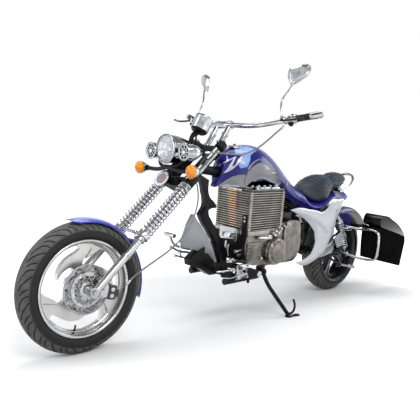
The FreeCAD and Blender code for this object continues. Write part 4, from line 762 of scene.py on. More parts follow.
def groove_depth(turns, over, ring, crown, half_width):
    """How near each tread point is to a groove's middle: positive inside, in millimetres."""
    nearest = np.full(turns.shape, -1e3)
    for side in SIDES:
        across = over * side
        offset = 0 if side == 1 else TREAD_PITCH / 2
        for line in TREAD_GROOVES:
            s = np.array([p[0] for p in line], float)
            t = np.array([p[1] for p in line], float) + offset
            dense_s = np.linspace(s[0], s[-1], 40)
            dense_t = np.interp(dense_s, s, t)
            for ds, dt in zip(dense_s, dense_t):
                round_gap = (turns - dt + TREAD_PITCH / 2) % TREAD_PITCH - TREAD_PITCH / 2
                reach = ring + crown * math.cos(math.radians(ds))
                a = np.radians(round_gap) * reach
                b = np.radians(across - ds) * crown
                nearest = np.maximum(nearest, half_width - np.hypot(a, b))
    return nearest


def tyre(name, place, body, outer, crown, flange, bead, bead_half, half_width):
    """Round-crowned tyre with curved tread grooves, a scuffed band and ribbed sidewalls."""
    ring = outer - crown
    around = 720
    over = np.concatenate([np.arange(-90, -72, 6), np.arange(-72, 73, 3), np.arange(78, 91, 6)]).astype(float)
    wall = [(bead_half + (crown - bead_half) * k, flange + 1 + (ring - flange - 1) * h)
            for k, h in ((0, 0), (0.28, 0.12), (0.62, 0.36), (0.68, 0.42), (0.72, 0.44), (0.9, 0.72))]
    turns = np.arange(around) * 360 / around
    grid_t, grid_s = np.meshgrid(turns, over)
    groove = groove_depth(grid_t, grid_s, ring, crown, half_width)
    cut = np.clip(groove / 1.6, 0, 1)
    cut = cut * cut * (3 - 2 * cut) * 3.6
    half = [(bead_half, bead), *wall]
    rows, tread, grooves = [], [], []
    for y, r in half:
        rows.append((np.full(around, -y), np.full(around, r)))
        tread.append(np.full(around, -60.0))
        grooves.append(np.full(around, -9.0))
    for k, s in enumerate(over):
        a = math.radians(s)
        radius = crown - cut[k]
        rows.append((radius * math.sin(a), ring + radius * math.cos(a)))
        tread.append(np.full(around, (70 - abs(s)) * crown * math.pi / 180))
        grooves.append(groove[k])
    for y, r in reversed(half):
        rows.append((np.full(around, float(y)), np.full(around, r)))
        tread.append(np.full(around, -60.0))
        grooves.append(np.full(around, -9.0))
    angles = np.radians(turns)
    points = []
    for y, r in rows:
        points.append(np.stack([r * np.cos(angles), np.broadcast_to(y, angles.shape), r * np.sin(angles)], 1))
    points = np.concatenate(points) * MM
    count = len(rows)
    faces = []
    for row in range(count):
        low, high = row * around, ((row + 1) % count) * around
        for k in range(around):
            n = (k + 1) % around
            faces.append((low + k, high + k, high + n, low + n))
    to = np.array(place)
    points = points @ to[:3, :3].T + to[:3, 3]
    data = bpy.data.meshes.new(name)
    data.from_pydata(points.tolist(), [], faces)
    data.materials.append(TYRE)
    piece = linked(name, data)
    store(piece, "tread", np.concatenate(tread))
    store(piece, "groove", np.concatenate(grooves))
    data.shade_smooth()
    tidy = bmesh.new()
    tidy.from_mesh(data)
    bmesh.ops.recalc_face_normals(tidy, faces=tidy.faces)
    tidy.to_mesh(data)
    tidy.free()
    settle(piece, body, "tyre", name.replace("_skin", ""))


tyre("front_tyre_skin", FRONT_WHEEL, "front_wheel", 294, 54, 216.5, 203, 40, 2.7)
tyre("rear_tyre_skin", REAR_WHEEL, "rear_wheel", 274.5, 72, 203, 190.5, 60, 3.2)

WHEEL_AXIS = turn("X", -90)  # Z of a turned shape on to the wheel's Y
SWIRL_BLADE = (  # radius, angle of the blade and its long hook
    (196, 58), (196, 36), (178, 38.5), (166, 35.5), (158, 24), (153, 10), (147, -4), (139, -15),
    (126, -25), (124, -17), (120, -6), (115, 6), (109, 13), (98, 16), (84, 14), (60, 6), (30, -10),
    (26, 40), (30, 84), (60, 62), (84, 50), (100, 44), (114, 43), (130, 47), (146, 51), (166, 54.5),
)
SWIRL_CLAW = (
    (197, 76), (197, 58.5), (178, 57.8), (158, 56), (140, 53), (128, 51.5), (136, 57), (150, 62.5),
    (166, 67), (182, 72),
)


def both_ways(half):
    """Turned profile and its mirror image, joined at the half's last point."""
    return half + [(radius, -height) for radius, height in reversed(half)]


def swirled(outline, start):
    return [polar(r, a + start) for r, a in outline]


def front_rim():
    """Polished barrel, swirl blades with claws, and the hub."""
    make = Maker(FRONT_WHEEL)
    barrel = both_ways([(216.5, -45), (214, -46.5), (209, -46), (205, -43), (202, -38), (199, -26),
                        (197, -14), (192, -12), (189, -8)])
    barrel += both_ways([(216.8, 40.5), (205, 40), (203.4, 36)])
    make.lathe(barrel, WHEEL_AXIS, 144, closed=True)
    make.piece("front_rim_barrel", BRIGHT_ALLOY, "front_wheel", "rim_alloy", "front_rim", angle=50)
    make = Maker(FRONT_WHEEL)
    for start in (0, 120, 240):
        make.plate(loop_through(swirled(SWIRL_BLADE, start), 4), -14, 14, place=WHEEL_PLANE)
        make.plate(loop_through(swirled(SWIRL_CLAW, start), 4), -11, 11, place=WHEEL_PLANE)
    make.piece("front_rim_blades", CAST_ALLOY, "front_wheel", "rim_alloy", edge=4.5, angle=50, segments=3)
    make = Maker(FRONT_WHEEL)
    hub = [(9.3, -55.5), (26, -55.5), (31, -51), (31, -24), (44, -18), (50, -15), (50, 15), (44, 18),
           (33, 24), (33, 44), (48, 47), (48, 50.5), (30, 51), (26, 55.5), (9.3, 55.5)]
    make.lathe(hub, WHEEL_AXIS, 64, closed=True)
    make.piece("front_hub", CAST_ALLOY, "front_wheel", "rim_alloy", edge=0.8)
    make = Maker(FRONT_WHEEL)
    for sign in SIDES:
        make.lathe([(9.4, 0), (33, 0), (34, 1), (34, 3), (28, 6), (18, 7), (9.4, 7)],
                   outward(sign, 0, 56, 0), 64, closed=True)
    make.piece("front_hub_caps", BRIGHT_ALLOY, "front_wheel", "rim_alloy", angle=30)
    make = Maker(FRONT_WHEEL)
    foot, tip = polar(190, -127), polar(166, -127)
    make.rod((foot[0], 12, foot[1]), (tip[0], 12, tip[1]), 4.2, 16, 0.8)
    wide = polar(186, -127)
    make.rod((foot[0], 12, foot[1]), (wide[0], 12, wide[1]), 6.5, 16, 1)
    make.piece("front_valve", SATIN_BLACK, "front_wheel", "grip_rubber")


DISC_ROWS = ((78, 2.3, 0), (88, 2.6, 4), (99, 2.3, 0))  # radius, hole size and start of each row


def drilled_disc(name, place, body, outer, inner, y, side, carrier):
    """Steel ring drilled in rows, on a carrier with windows, and its bolts."""
    make = Maker(place)
    low, high = sorted((-y, -y - side * 4.5))
    bores = []
    for row, (radius, size, phase) in enumerate(DISC_ROWS):
        for k in range(18):
            centre = polar(radius, phase + k * 20 + row * 7)
            bores.append(ring_of(size, 10, centre=centre))
    make.plate(ring_of(outer, 144), low, high, [ring_of(inner, 96), *bores], WHEEL_PLANE)
    make.piece(name + "_ring", DISC_STEEL, body, "disc_steel", name, edge=0.4)
    make = Maker(place)
    windows = []
    for k in range(12):
        middle = 30 * k + 12
        windows.append([polar(r, middle + a) for r, a in
                        ((44, -6), (44, 6), (50, 8.5), (58, 8), (62, 4), (62, -4), (58, -8), (50, -8.5))])
    far, near = sorted((-y - side * 1, -y - side * (4.5 + 2.2)))
    make.plate(ring_of(inner + 7, 96), far, near, [ring_of(31.5, 48), *windows], WHEEL_PLANE)
    make.piece(name + "_carrier", carrier, body, "disc_steel", edge=0.8)
    make = Maker(place)
    for k in range(6):
        spot = polar(inner + 2, 60 * k + 27)
        make.bolt((spot[0], y + side * 6.6, spot[1]), (0, side, 0), 4, 2.4)
        spot = polar(37.5, 60 * k + 27)
        make.bolt((spot[0], y + side * 6.6, spot[1]), (0, side, 0), 3.4, 2.4)
    make.piece(name + "_bolts", CHROME, body, "chrome", edge=0.3)


front_rim()
drilled_disc("front_disc", FRONT_WHEEL, "front_wheel", 112, 70, 51, 1, BRIGHT_ALLOY)

REAR_PADDLE = (
    (185, -15), (176, -12), (150, -9), (110, -8), (60, -14), (28, -34), (24, 0), (28, 34), (60, 14),
    (110, 8), (150, 9), (176, 12), (185, 15),
)


def rear_rim():
    """Dark five-spoke wheel with bright edges."""
    make = Maker(REAR_WHEEL)
    barrel = [(203, -65), (200, -66.5), (195, -65), (190, -60), (186, -40), (182, -20), (181, 20),
              (186, 40), (190, 60), (195, 65), (200, 66.5), (203, 65), (203.2, 60.5), (192, 60),
              (190.8, 55), (190.8, -55), (192, -60), (203.2, -60.5)]
    make.lathe(barrel, WHEEL_AXIS, 144, closed=True)
    hub = both_ways([(9.3, -69.5), (28, -69.5), (31, -64), (31, -26), (46, -20)])
    make.lathe(hub, WHEEL_AXIS, 64, closed=True)
    for k in range(5):
        paddle = loop_through(swirled(REAR_PADDLE, 72 * k), 3)
        make.plate(paddle, 2, 20, place=WHEEL_PLANE)
        make.plate(paddle, -20, -2, place=WHEEL_PLANE)
    make.piece("rear_rim_cast", DARK_ALLOY, "rear_wheel", "rim_dark", "rear_rim", edge=3.0, segments=3)
    make = Maker(REAR_WHEEL)
    for k in range(5):
        for side in SIDES:
            edge = [polar(r, 72 * k + side * a) for r, a in ((60, 10), (110, 6.3), (150, 7.2), (172, 9.4))]
            for sign in SIDES:
                make.tube([(x, sign * 20.4, z) for x, z in edge], 2.4, 8, 6)
    for sign in SIDES:
        facing = WHEEL_AXIS @ turn("X", 0 if sign == 1 else 180)
        make.lathe([(199, 65.2), (202, 66.8), (203.2, 65.0), (202, 63.8)], facing, 144, True)
    make.piece("rear_rim_edges", BRIGHT_ALLOY, "rear_wheel", "rim_alloy")


rear_rim()
drilled_disc("rear_disc", REAR_WHEEL, "rear_wheel", 110, 70, -62.5, -1, DARK_ALLOY)


# ---------------- fork and its clamps
REFLECTOR = metal("reflector", (0.62, 0.64, 0.66), (0.4, 0.41, 0.43), 0.2, 0.08, size=40, amount=0.3)
# Deep blue paint, then the pale painted highlight near the mudguard's tip.
GUARD_BLUE_AND_HIGHLIGHT = ((0.04, 0.05, 0.50), (0.03, 0.035, 0.38)), ((0.30, 0.42, 0.85), (0.45, 0.58, 0.92))
GUARD_PAINT = two_tone("guard_paint", "sky", *GUARD_BLUE_AND_HIGHLIGHT, softness=16)


def leg(sign, up, ahead=0.0):
    return (LEG_AHEAD + ahead, sign * LEG_SPREAD, up)


def springs():
    piece = grow("fork_coils", COIL, FORK @ shift(LEG_AHEAD, 0, 356), material=CHROME)
    settle(piece, "fork", "chrome", "fork_springs")


def fork_legs():
    """Fasteners on the legs, clamps and axle."""
    dress("fork_tubes", CHROME, 1)
    dress("fork_sliders", BRIGHT_ALLOY, 1.5)
    dress("front_axle", CHROME, 1)
    dress("lower_clamp", SATIN_BLACK, 3)
    dress("upper_clamp", SATIN_BLACK, 3)
    trim = Maker(FORK)
    for sign in SIDES:
        trim.lathe([(0, 0), (16, 0), (16, 5), (12, 9), (0, 9)], aim(leg(sign, 975.5), (0, 0, 1)), 32)
        trim.lathe([(21, 0), (24.5, 2), (24.5, 12), (21, 14)], aim(leg(sign, 320), (0, 0, -1)), 40,
                   closed=True)
        trim.lathe([(18.7, 0), (21.5, 0), (21.5, 8), (18.7, 8)], aim(leg(sign, 212), (0, 0, 1)), 40,
                   closed=True)
        trim.lathe([(17.2, 0), (21, 0), (22, 3), (22, 11), (20, 13), (17.2, 13)],
                   aim(leg(sign, 654), (0, 0, 1)), 40, closed=True)
        trim.rod((66, sign * 28, 0), (66, sign * 87, 0), 14, 32, 1)
        trim.lathe([(0, 0), (24, 0), (26, 2), (26, 6), (20, 9), (0, 9)], outward(sign, 66, 36, 0), 40)
    trim.lathe([(0, 0), (19, 0), (19, 9), (15, 13), (0, 13)], aim((0, 0, 967.2), (0, 0, 1)), 6)
    trim.piece("fork_trim", CHROME, "fork", "chrome", angle=30)
    spots = [((66, sign * 123, 0), (0, sign, 0)) for sign in SIDES]
    screws("axle_nuts", spots, 12, 8, FORK, "fork")
    pinch = [(leg(sign, up, 30), (1, 0, 0)) for sign in SIDES for up in (688, 718, 951)]
    pinch += [((LEG_AHEAD + 20, sign * 100, up), (0.95, 0.3 * sign, 0)) for sign in SIDES for up in (24, 40)]
    screws("pinch_bolts", pinch, 5, 5, FORK, "fork")


def oval_badge():
    """Blank oval reflector on the right leg."""
    place = aim((LEG_AHEAD + 34, -62, 664), (0.75, 0.3, -0.45), (0.2, 0.5, 0.6))
    oval = [(45 * x, 33 * y) for x, y in ring_of(1, 40)]
    rim = Maker(FORK)
    rim.plate(oval, 0, 5, place=place)
    rim.piece("badge_plate", SILVER_PAINT, "fork", "silver_paint", edge=1.2)
    face = Maker(FORK)
    face.plate([(x * 0.66, y * 0.66) for x, y in oval], 5, 6.6, place=place)
    face.piece("badge_face", DARK_RED, "fork", "lens_amber", edge=0.6)


def front_guard():
    """Mudguard blade with a painted highlight that pales it towards its tip."""
    piece = moulded("front_mudguard", "front_guard", 2.0, 3)
    paint_only(piece, GUARD_PAINT)
    points = local_points(piece, FRONT_WHEEL)
    back = np.degrees(np.arctan2(points[:, 2], points[:, 0])) - 31
    # Painted highlight: a pale patch near the tip of the blade.
    store(piece, "sky", np.minimum(20 - np.abs(points[:, 1] - 10), 22 - np.abs(back - 16) * 1.6))
    settle(piece, "fork", "blue_paint", "front_mudguard")
    brace = Maker(FORK)
    for sign in SIDES:
        brace.tube([(LEG_AHEAD + 6, sign * 80, 300), (LEG_AHEAD + 22, sign * 72, 322),
                    (LEG_AHEAD + 24, sign * 52, 348)], 4.5, 12)
    brace.piece("guard_braces", CHROME, "fork", "chrome", angle=50)


def calliper():
    """Two-piston calliper halves with a bridge, cooling fins and bolts."""
    place = turn("Y", -54)
    half = Maker(FRONT_WHEEL)
    outline = loop_through([(-30, 90), (-30, 128), (-16, 143), (16, 143), (30, 128), (30, 90), (14, 85),
                            (-14, 85)], 5)
    half.plate(outline, 36, 44, place=place @ UPRIGHT)
    half.plate(outline, 62, 88, place=place @ UPRIGHT)
    half.block((-28, 44, 121), (28, 62, 142), place)
    half.piece("calliper_halves", DARK_ALLOY, "fork", "black_paint", "brake_caliper", edge=1.5)
    part = Maker(FRONT_WHEEL)
    for x in (-14, 14):
        part.lathe([(0, 0), (10.5, 0), (10.5, 4), (8.5, 6), (0, 6)], place @ aim((x, 88, 108), (0, 1, 0)), 32)
        part.lathe([(4, 0), (6.5, 0), (6.5, 4), (4, 4)], place @ aim((x * 1.6, 88, 131), (0, 1, 0)), 24,
                   closed=True)
    part.block((-24, 60.5, 140), (24, 86, 144.5), place)
    part.piece("calliper_trim", BRIGHT_ALLOY, "fork", "polished_alloy", edge=0.8)
    arm = Maker(FRONT_WHEEL)
    arm.plate([(-26, 48), (-22, 84), (18, 86), (50, 74), (52, 54), (20, 46)], 83, 91, place=place @ UPRIGHT)
    arm.piece("calliper_arm", BRIGHT_ALLOY, "fork", "polished_alloy", edge=1.5)
    spots = [((place @ (Vector(p) * MM)) / MM, place @ Vector((0, 1, 0)))
             for p in ((-20, 91, 62), (12, 91, 60), (42, 91, 64))]
    screws("calliper_bolts", spots, 4.5, 4, FRONT_WHEEL, "fork")


# ---------------- handlebar, grips and controls
BAR_BEND, BAR_END = Vector((44, 200, 1117)), Vector((-14, 500, 1274))
BAR_RUN = (BAR_END - BAR_BEND).normalized()


def on_bar(from_end, sign):
    return flip(BAR_END - BAR_RUN * from_end, sign)


def flip(point, sign):
    return Vector((point[0], sign * point[1], point[2]))


def round_bar(from_end, sign):
    """Frame on the bar, its Z along it and outwards."""
    return aim(on_bar(from_end, sign), flip(BAR_RUN, sign), (1, 0, 0))


def grip_set():
    """Ribbed rubber, then a bright end with dark oval insets."""
    rubber, bright = Maker(FORK), Maker(FORK)
    for sign in SIDES:
        place = round_bar(125, sign)
        ribs = [(12.9, 0), (17, 0), (17, 3)]
        for k in range(11):
            z = 5 + k * 5
            ribs += [(16.6, z), (15.2, z + 1), (15.2, z + 2.2), (16.6, z + 3.2)]
        rubber.lathe([*ribs, (16.6, 62), (12.9, 62)], place, 48, closed=True)
        bright.lathe([(12.9, 62.5), (16.2, 62.5), (17, 64), (17, 116), (15.5, 122), (12, 124.5), (10, 124.8),
                      (10, 118), (12.8, 117)], place, 48, closed=True)
    rubber.piece("grip_rubbers", GRIP_RUBBER, "fork", "grip_rubber", "grips", angle=30)
    bright.piece("grip_ends", CHROME, "fork", "chrome", angle=30)
    ovals = Maker(FORK)
    for sign in SIDES:
        place = round_bar(125, sign)
        for k in range(4):
            around = math.radians(90 * k + 35)
            out = Vector((math.cos(around), math.sin(around), 0))
            profile = [(4.6 * math.sin(math.pi * n / 10), -19 * math.cos(math.pi * n / 10))
                       for n in range(11)]
            ovals.lathe(profile, place @ Matrix.Translation((out * 14.2 + Vector((0, 0, 90))) * MM), 20)
    ovals.piece("grip_insets", SATIN_BLACK, "fork", "black_paint", angle=40)


def hand_control_set():
    """Switch housings, lever clamps, buttons and levers."""
    housing, dark, lever = Maker(FORK), Maker(FORK), Maker(FORK)
    for sign in SIDES:
        foot = round_bar(167, sign)
        housing.lathe([(12.9, 0), (20, 0), (22, 2), (22, 19.5), (21, 20.2), (22, 21), (22, 39), (20, 41.5),
                       (12.9, 41.5)], foot, 48, closed=True)
        ring = round_bar(187, sign)
        housing.lathe([(12.9, 0), (16.5, 0), (18, 2), (18, 17), (16.5, 19), (12.9, 19)], ring, 40,
                      closed=True)
        root = on_bar(177, 1) + Vector((17, 0, -10))
        pivot = flip(root + Vector((4, 2, -6)), sign)
        housing.rod(flip(root - Vector((2, 0, -4)), sign), pivot, 8.5)
        housing.lathe([(0, -9), (10, -9), (11, -7), (11, 7), (10, 9), (0, 9)], aim(pivot, (0.3, 0, 1)), 32)
        points = [root + Vector(step) for step in ((0, 0, 0), (24, 14, -38), (26, 70, -40), (16, 132, -16))]
        lever.tube([flip(p, sign) for p in points], 5.2, 14, 8)
        lever.ball(flip(points[-1], sign), 6.6)
        middle = on_bar(146, 1)
        for step, size in ((Vector((20, 2, 8)), 5.0), (Vector((21, -8, -6)), 4.2),
                           (Vector((-14, 4, 17)), 4.6)):
            dark.rod(flip(middle + step * 0.9, sign), flip(middle + step * 1.22, sign), size, 20, 0.8)
        dark.rod(flip(middle - Vector((6, 0, 16)), sign), flip(middle - Vector((8, 0, 32)), sign), 13, 28, 2)
        dark.lathe([(12.9, 0), (17.8, 0), (17.8, 3.5), (12.9, 3.5)],
                   round_bar(129, sign), 40, closed=True)
    housing.piece("control_housings", CHROME, "fork", "chrome", "hand_controls", angle=30)
    lever.piece("levers", GLOSS_BLACK, "fork", "black_paint", angle=50)
    dark.piece("switches", SATIN_BLACK, "fork", "black_paint", angle=35)


def bar_and_risers():
    dress("handlebar", CHROME, 1)
    dress("risers", CHROME, 2.5)
    spots = [((58 + 16, sign * (45 + step), 1108 + 12), (0.8, 0, 0.6)) for sign in SIDES for step in (-9, 9)]
    screws("riser_bolts", spots, 4, 5, FORK, "fork", sides=16)
    trim = Maker(FORK)
    for sign in SIDES:
        for share in (0.06, 0.55):
            base, top = Vector((25, sign * 45, 967)), Vector((58, sign * 45, 1108))
            trim.lathe([(14.7, 0), (17.6, 0), (18.4, 1.5), (18.4, 8.5), (17.6, 10), (14.7, 10)],
                       aim(base.lerp(top, share), top - base), 40, closed=True)
    trim.piece("riser_rings", CHROME, "fork", "chrome", angle=30)


MIRROR_EDGE = [(-36, -54), (-10, -43), (14, -30), (38, -15), (56, 2), (61, 22), (60, 44), (40, 50), (16, 49),
               (-16, 42), (-46, 32), (-55, 15), (-56, -4), (-48, -32)]


def mirror_set():
    """Faceted bright heads on bent stalks, with their glass facing the rider."""
    head, glass, stalk = Maker(FORK), Maker(FORK), Maker(FORK)
    swap = Matrix(((0, 0, 1), (1, 0, 0), (0, 1, 0))).to_4x4()
    for sign in SIDES:
        place = shift(137, sign * 346, 1395) @ turn("Y", 47) @ turn("Z", 21 * sign) @ swap
        edge = [(sign * y, z) for y, z in MIRROR_EDGE]
        rings = ((1.0, -9.0), (1.02, -6.0), (0.97, -1.0), (0.72, 8.0), (0.3, 10.0))
        vertices, count = [], len(edge)
        for scale, height in rings:
            vertices += [(y * scale, z * scale, height) for y, z in edge]
        faces = [list(range(count)), list(range(count * 4, count * 5))]
        for ring in range(4):
            for k in range(count):
                n = (k + 1) % count
                faces.append([ring * count + k, ring * count + n, (ring + 1) * count + n,
                              (ring + 1) * count + k])
        head.add(vertices, faces, place)
        glass.plate([(y * 0.93, z * 0.93) for y, z in edge], -10.2, -9.1, place=place)
        points = ((32, 322, 1196), (60, 306, 1232), (82, 298, 1276), (104, 322, 1330), (118, 330, 1362))
        stalk.tube([flip(p, sign) for p in points], 5, 16, 8)
        stalk.lathe([(0, -6), (9, -6), (10, -3), (10, 6), (7, 9), (0, 9)],
                    aim(flip(points[0], sign), (0.3, 0, 1)), 28)
        stalk.ball(flip(points[-1], sign), 9)
    head.piece("mirror_heads", CHROME, "fork", "chrome", "mirrors", edge=2.0, angle=25)
    glass.piece("mirror_glass", REFLECTOR, "fork", "lens_glass", edge=0.4)
    stalk.piece("mirror_stalks", CHROME, "fork", "chrome", angle=45)


# ---------------- lamps, gauge and their carrier
LAMP_CENTRE = (219, 0, 739)


def headlamp():
    """Bullet shell with its bright bezel, ringed reflector, bulb shield and domed glass."""
    place = aim(LAMP_CENTRE, FORWARD, SKY)
    shell = Maker(FORK)
    outside = [(0, -168), (9, -167), (16, -163), (27, -153), (38, -140), (47, -126), (54, -108), (59.5, -88),
               (64, -66), (67, -44), (68.5, -22), (69, -12), (71.5, -10), (72, -8), (72, -2), (71, 0.5),
               (68, 1), (67.2, 0)]
    inside = [(66.8, -7), (64, -12), (56, -27), (44, -41), (30, -50), (16, -54), (0, -55)]
    shell.lathe(outside + inside, place, 72)
    shell.piece("headlamp_shell", CHROME, "fork", "chrome", "headlight", angle=30)
    bowl = Maker(FORK)
    profile = []
    for k in range(49):
        r = 65.5 * k / 48
        ripple = 1.1 * math.cos(2 * math.pi * k / 4)
        profile.append((r, -50 + 42 * (r / 65.5) ** 2 + ripple))
    bowl.lathe(profile + [(r, z - 1.5) for r, z in reversed(profile)], place, 72)
    bowl.lathe([(0, -50), (15, -50), (15, -30), (13, -24), (8, -21), (0, -20)], place, 36)
    bowl.piece("headlamp_bowl", REFLECTOR, "fork", "chrome", angle=60)
    glass = Maker(FORK)
    glass.lathe([(0, 15.6), (12, 15), (28, 12.4), (44, 8), (58, 2.4), (66, -1), (66.6, -4), (60, -2),
                 (44, 4.2), (28, 8.6), (12, 11.2), (0, 11.8)], place, 72)
    glass.piece("headlamp_glass", LAMP_GLASS, "fork", "lens_glass", "headlight_lens", angle=60)


def speaker_set():
    """Chrome cups with slotted silver fronts."""
    cup, front, dark = Maker(FORK), Maker(FORK), Maker(FORK)
    for sign in SIDES:
        place = aim((204, sign * 130, 738), FORWARD, SKY)
        cup.lathe([(0, -105), (10, -104), (16, -101), (25, -86), (33, -72), (38, -60), (40.5, -36), (41, -12),
                   (42, -9), (42, -1), (41, 0.5), (36.5, 0.5), (36, -2), (36, -12), (0, -13)], place, 60)
        front.lathe([(31, -6), (36, -6), (36, -1), (34, 0), (32, -1)], place, 60, closed=True)
        front.lathe([(19.5, -4), (22, -4), (22, -2), (19.5, -2)], place, 48, closed=True)
        for k in range(8):
            front.block((9, -1.9, -5), (33, 1.9, -1.8), place @ turn("Z", 45 * k))
        front.lathe([(0, -4), (11, -4), (11, 0), (8, 3), (0, 4.4)], place, 40)
        dark.lathe([(0, -8), (35.5, -8), (35.5, -6), (0, -6)], place, 48)
    cup.piece("speaker_cups", CHROME, "fork", "chrome", "speakers", angle=30)
    front.piece("speaker_fronts", REFLECTOR, "fork", "silver_paint", edge=0.6, angle=40)
    dark.piece("speaker_backs", SATIN_BLACK, "fork", "black_paint")


def signal_set():
    """Amber faceted lenses in chrome cups."""
    lens, cup = Maker(FORK), Maker(FORK)
    for sign in SIDES:
        place = aim((147, sign * 203, 671), FORWARD, SKY)
        cup.lathe([(0, -42), (12, -42), (20, -36), (27, -22), (31, -8), (31.5, -3), (30.5, -2.2), (0, -2.2)],
                  place, 48)
        profile = [(0, -2), (31, -2), (32, 6), (31, 9.5)]
        for k in range(8):
            r = 29 - k * 3.5
            rise = 25 - 15 * (r / 30) ** 2
            profile += [(r, rise - 0.9), (r - 1.7, rise + 0.9)]
        lens.lathe([*profile, (0, 25)], place, 14)
    cup.piece("signal_cups", CHROME, "fork", "chrome", angle=30)
    lens.piece("signal_domes", AMBER, "fork", "lens_amber", "signal_lenses", angle=12)


def carrier():
    """Black plate and arms that hold the lamps, with their wiring cover."""
    arm = Vector((142, 0, 697))
    body = Maker(FORK)
    body.rod((42.5, 0, 702), arm, 12)
    body.tube([(108, 0, 699), (122, 0, 728), (160, 0, 764)], 10, 16)
    body.block((90, -60, 682), (96, 60, 900))
    body.block((90, 60, 836), (110, 112, 868))
    for sign in SIDES:
        body.tube([arm, flip((144, 70, 709), sign), flip((166, 130, 780), sign)], 8, 16)
        body.tube([arm, flip((128, 90, 688), sign), flip((128, 203, 692), sign)], 10, 16)
        body.lathe([(0, 0), (13, 0), (15, 4), (15, 18), (12, 22), (0, 22)],
                   outward(sign, 129, 172, 690), 28)
    body.piece("lamp_carrier", SATIN_BLACK, "fork", "black_paint", "lamp_bracket", edge=1.2)
    loom = Maker(FORK)
    for k in range(7):
        y = -48 + 16 * k
        bow = 8 * math.sin(1.7 * k)
        loom.tube([(98, y, 690), (104 + bow * 0.3, y + bow, 740), (100, y - bow, 800),
                   (105, y + bow * 0.6, 850), (98, y * 0.7, 894)], 4.2, 10, 6)
    for y, z, wide, tall in ((-30, 735, 26, 20), (16, 712, 30, 18), (30, 780, 22, 30), (-12, 806, 34, 20),
                             (-40, 850, 22, 26), (8, 862, 26, 22)):
        loom.block((97, y - wide / 2, z), (113, y + wide / 2, z + tall))
    loom.piece("wiring_cover", SATIN_BLACK, "fork", "black_paint", edge=1.0)
    clips = [((113, y, z), (1, 0, 0)) for y, z in ((-30, 745), (16, 721), (30, 795), (-12, 816), (8, 873))]
    screws("wiring_clips", clips, 3.2, 2.4, FORK, "fork", sides=16)


def dial():
    """Drum gauge: chrome body, pale dial with ticks and needle under glass."""
    tip = math.radians(17)
    axis = Vector((math.sin(tip), 0, math.cos(tip)))
    centre = Vector((158, 0, 987))
    place = aim(centre, axis, (1, 0, 0))
    drum = Maker(FORK)
    drum.lathe([(0, -30), (44, -30), (46, -26), (46, 27), (48, 31), (49, 36), (47.5, 41), (45, 42), (43, 41),
                (42.5, 36), (0, 36)], place, 72)
    drum.piece("gauge_drum", CHROME, "fork", "chrome", "gauge", angle=30)
    under = Maker(FORK)
    under.lathe([(0, -42), (30, -42), (36, -40), (42, -33), (43.5, -29.5), (0, -29.5)], place, 60)
    under.tube([(96, 0, 880), (130, 0, 884), (150, 0, 905), tuple(centre - axis * 38)], 8, 16)
    under.tube([(100, 22, 872), (128, 24, 890), (148, 16, 918),
                tuple(centre - axis * 38 + Vector((-6, 14, 0)))], 4.5, 12)
    under.tube([(100, -22, 872), (132, -24, 888), (156, -14, 920),
                tuple(centre - axis * 38 + Vector((4, -14, 0)))], 4.5, 12)
    under.piece("gauge_base", SATIN_BLACK, "fork", "black_paint", angle=35)
    face = Maker(FORK)
    face.lathe([(0, 36.2), (42, 36.2), (42, 37), (0, 37)], place, 60)
    face.piece("gauge_face", DIAL_WHITE, "fork", "silver_paint")
    marks = Maker(FORK)
    for k in range(31):
        spin = turn("Z", 140 - 280 * k / 30)
        inner = 32 if k % 5 == 0 else 35.5
        marks.block((inner, -0.6, 37), (39, 0.6, 37.5), place @ spin)
    marks.block((-8, -0.9, 38), (30, 0.9, 38.8), place @ turn("Z", 118))
    marks.lathe([(0, 37), (4, 37), (4, 39.6), (0, 40)], place, 24)
    marks.piece("gauge_marks", SATIN_BLACK, "fork", "black_paint")
    glass = Maker(FORK)
    glass.lathe([(0, 40.4), (42.4, 40.4), (42.4, 41.2), (0, 41.2)], place, 60)
    glass.piece("gauge_glass", LAMP_GLASS, "fork", "lens_glass")


BRAKE_HOSE = [(1, 52, 755), (-46, 58, 726), (-91, 60, 682), (-126, 62, 613), (-143, 66, 528), (-135, 70, 426),
              (-100, 75, 318), (-69, 80, 227), (-56, 84, 176), (-54, 86, 140)]
CONTROL_HOSE = [(9, 350, 1162), (6, 332, 1130), (-8, 296, 1078), (-21, 258, 1038), (-25, 225, 1004),
                (-8, 187, 961), (38, 154, 916), (76, 139, 880), (101, 110, 851)]


def hose(name, route, *stands_for):
    """Braided hose along its route, between two fittings."""
    points = [FORK @ (Vector(p) * MM) for p in route]
    data = bpy.data.curves.new(name, "CURVE")
    data.dimensions = "3D"
    spline = data.splines.new("NURBS")
    spline.points.add(len(points) - 1)
    for item, point in zip(spline.points, points):
        item.co = (*point, 1)
    spline.order_u = 3
    spline.use_endpoint_u = True
    spline.resolution_u = 16
    data.bevel_depth = 0.0042
    data.bevel_resolution = 5
    data.use_fill_caps = True
    piece = linked(name, data)
    data.materials.append(BRAID)
    settle(piece, "fork", "hose_braid", *stands_for)
    line = [points[0]]
    for a, b, c in zip(points, points[1:], points[2:]):
        start = a if a == points[0] else (a + b) / 2
        end = c if c == points[-1] else (b + c) / 2
        line += [start.lerp(b, t).lerp(b.lerp(end, t), t) for t in (k / 8 for k in range(1, 9))]


def hoses():
    hose("brake_hose", BRAKE_HOSE, "hoses")
    hose("control_hose", CONTROL_HOSE)
    ends = Maker(FORK)
    for route in (BRAKE_HOSE, CONTROL_HOSE):
        for a, b in ((route[0], route[1]), (route[-1], route[-2])):
            run = (Vector(b) - Vector(a)).normalized()
            ends.lathe([(0, -3), (5.5, -3), (6.5, -1), (6.5, 9), (5.5, 14), (5.2, 22), (0, 22)],
                       aim(Vector(a) - run * 2, run), 24)
    ends.piece("hose_fittings", BRIGHT_ALLOY, "fork", "polished_alloy", angle=35)


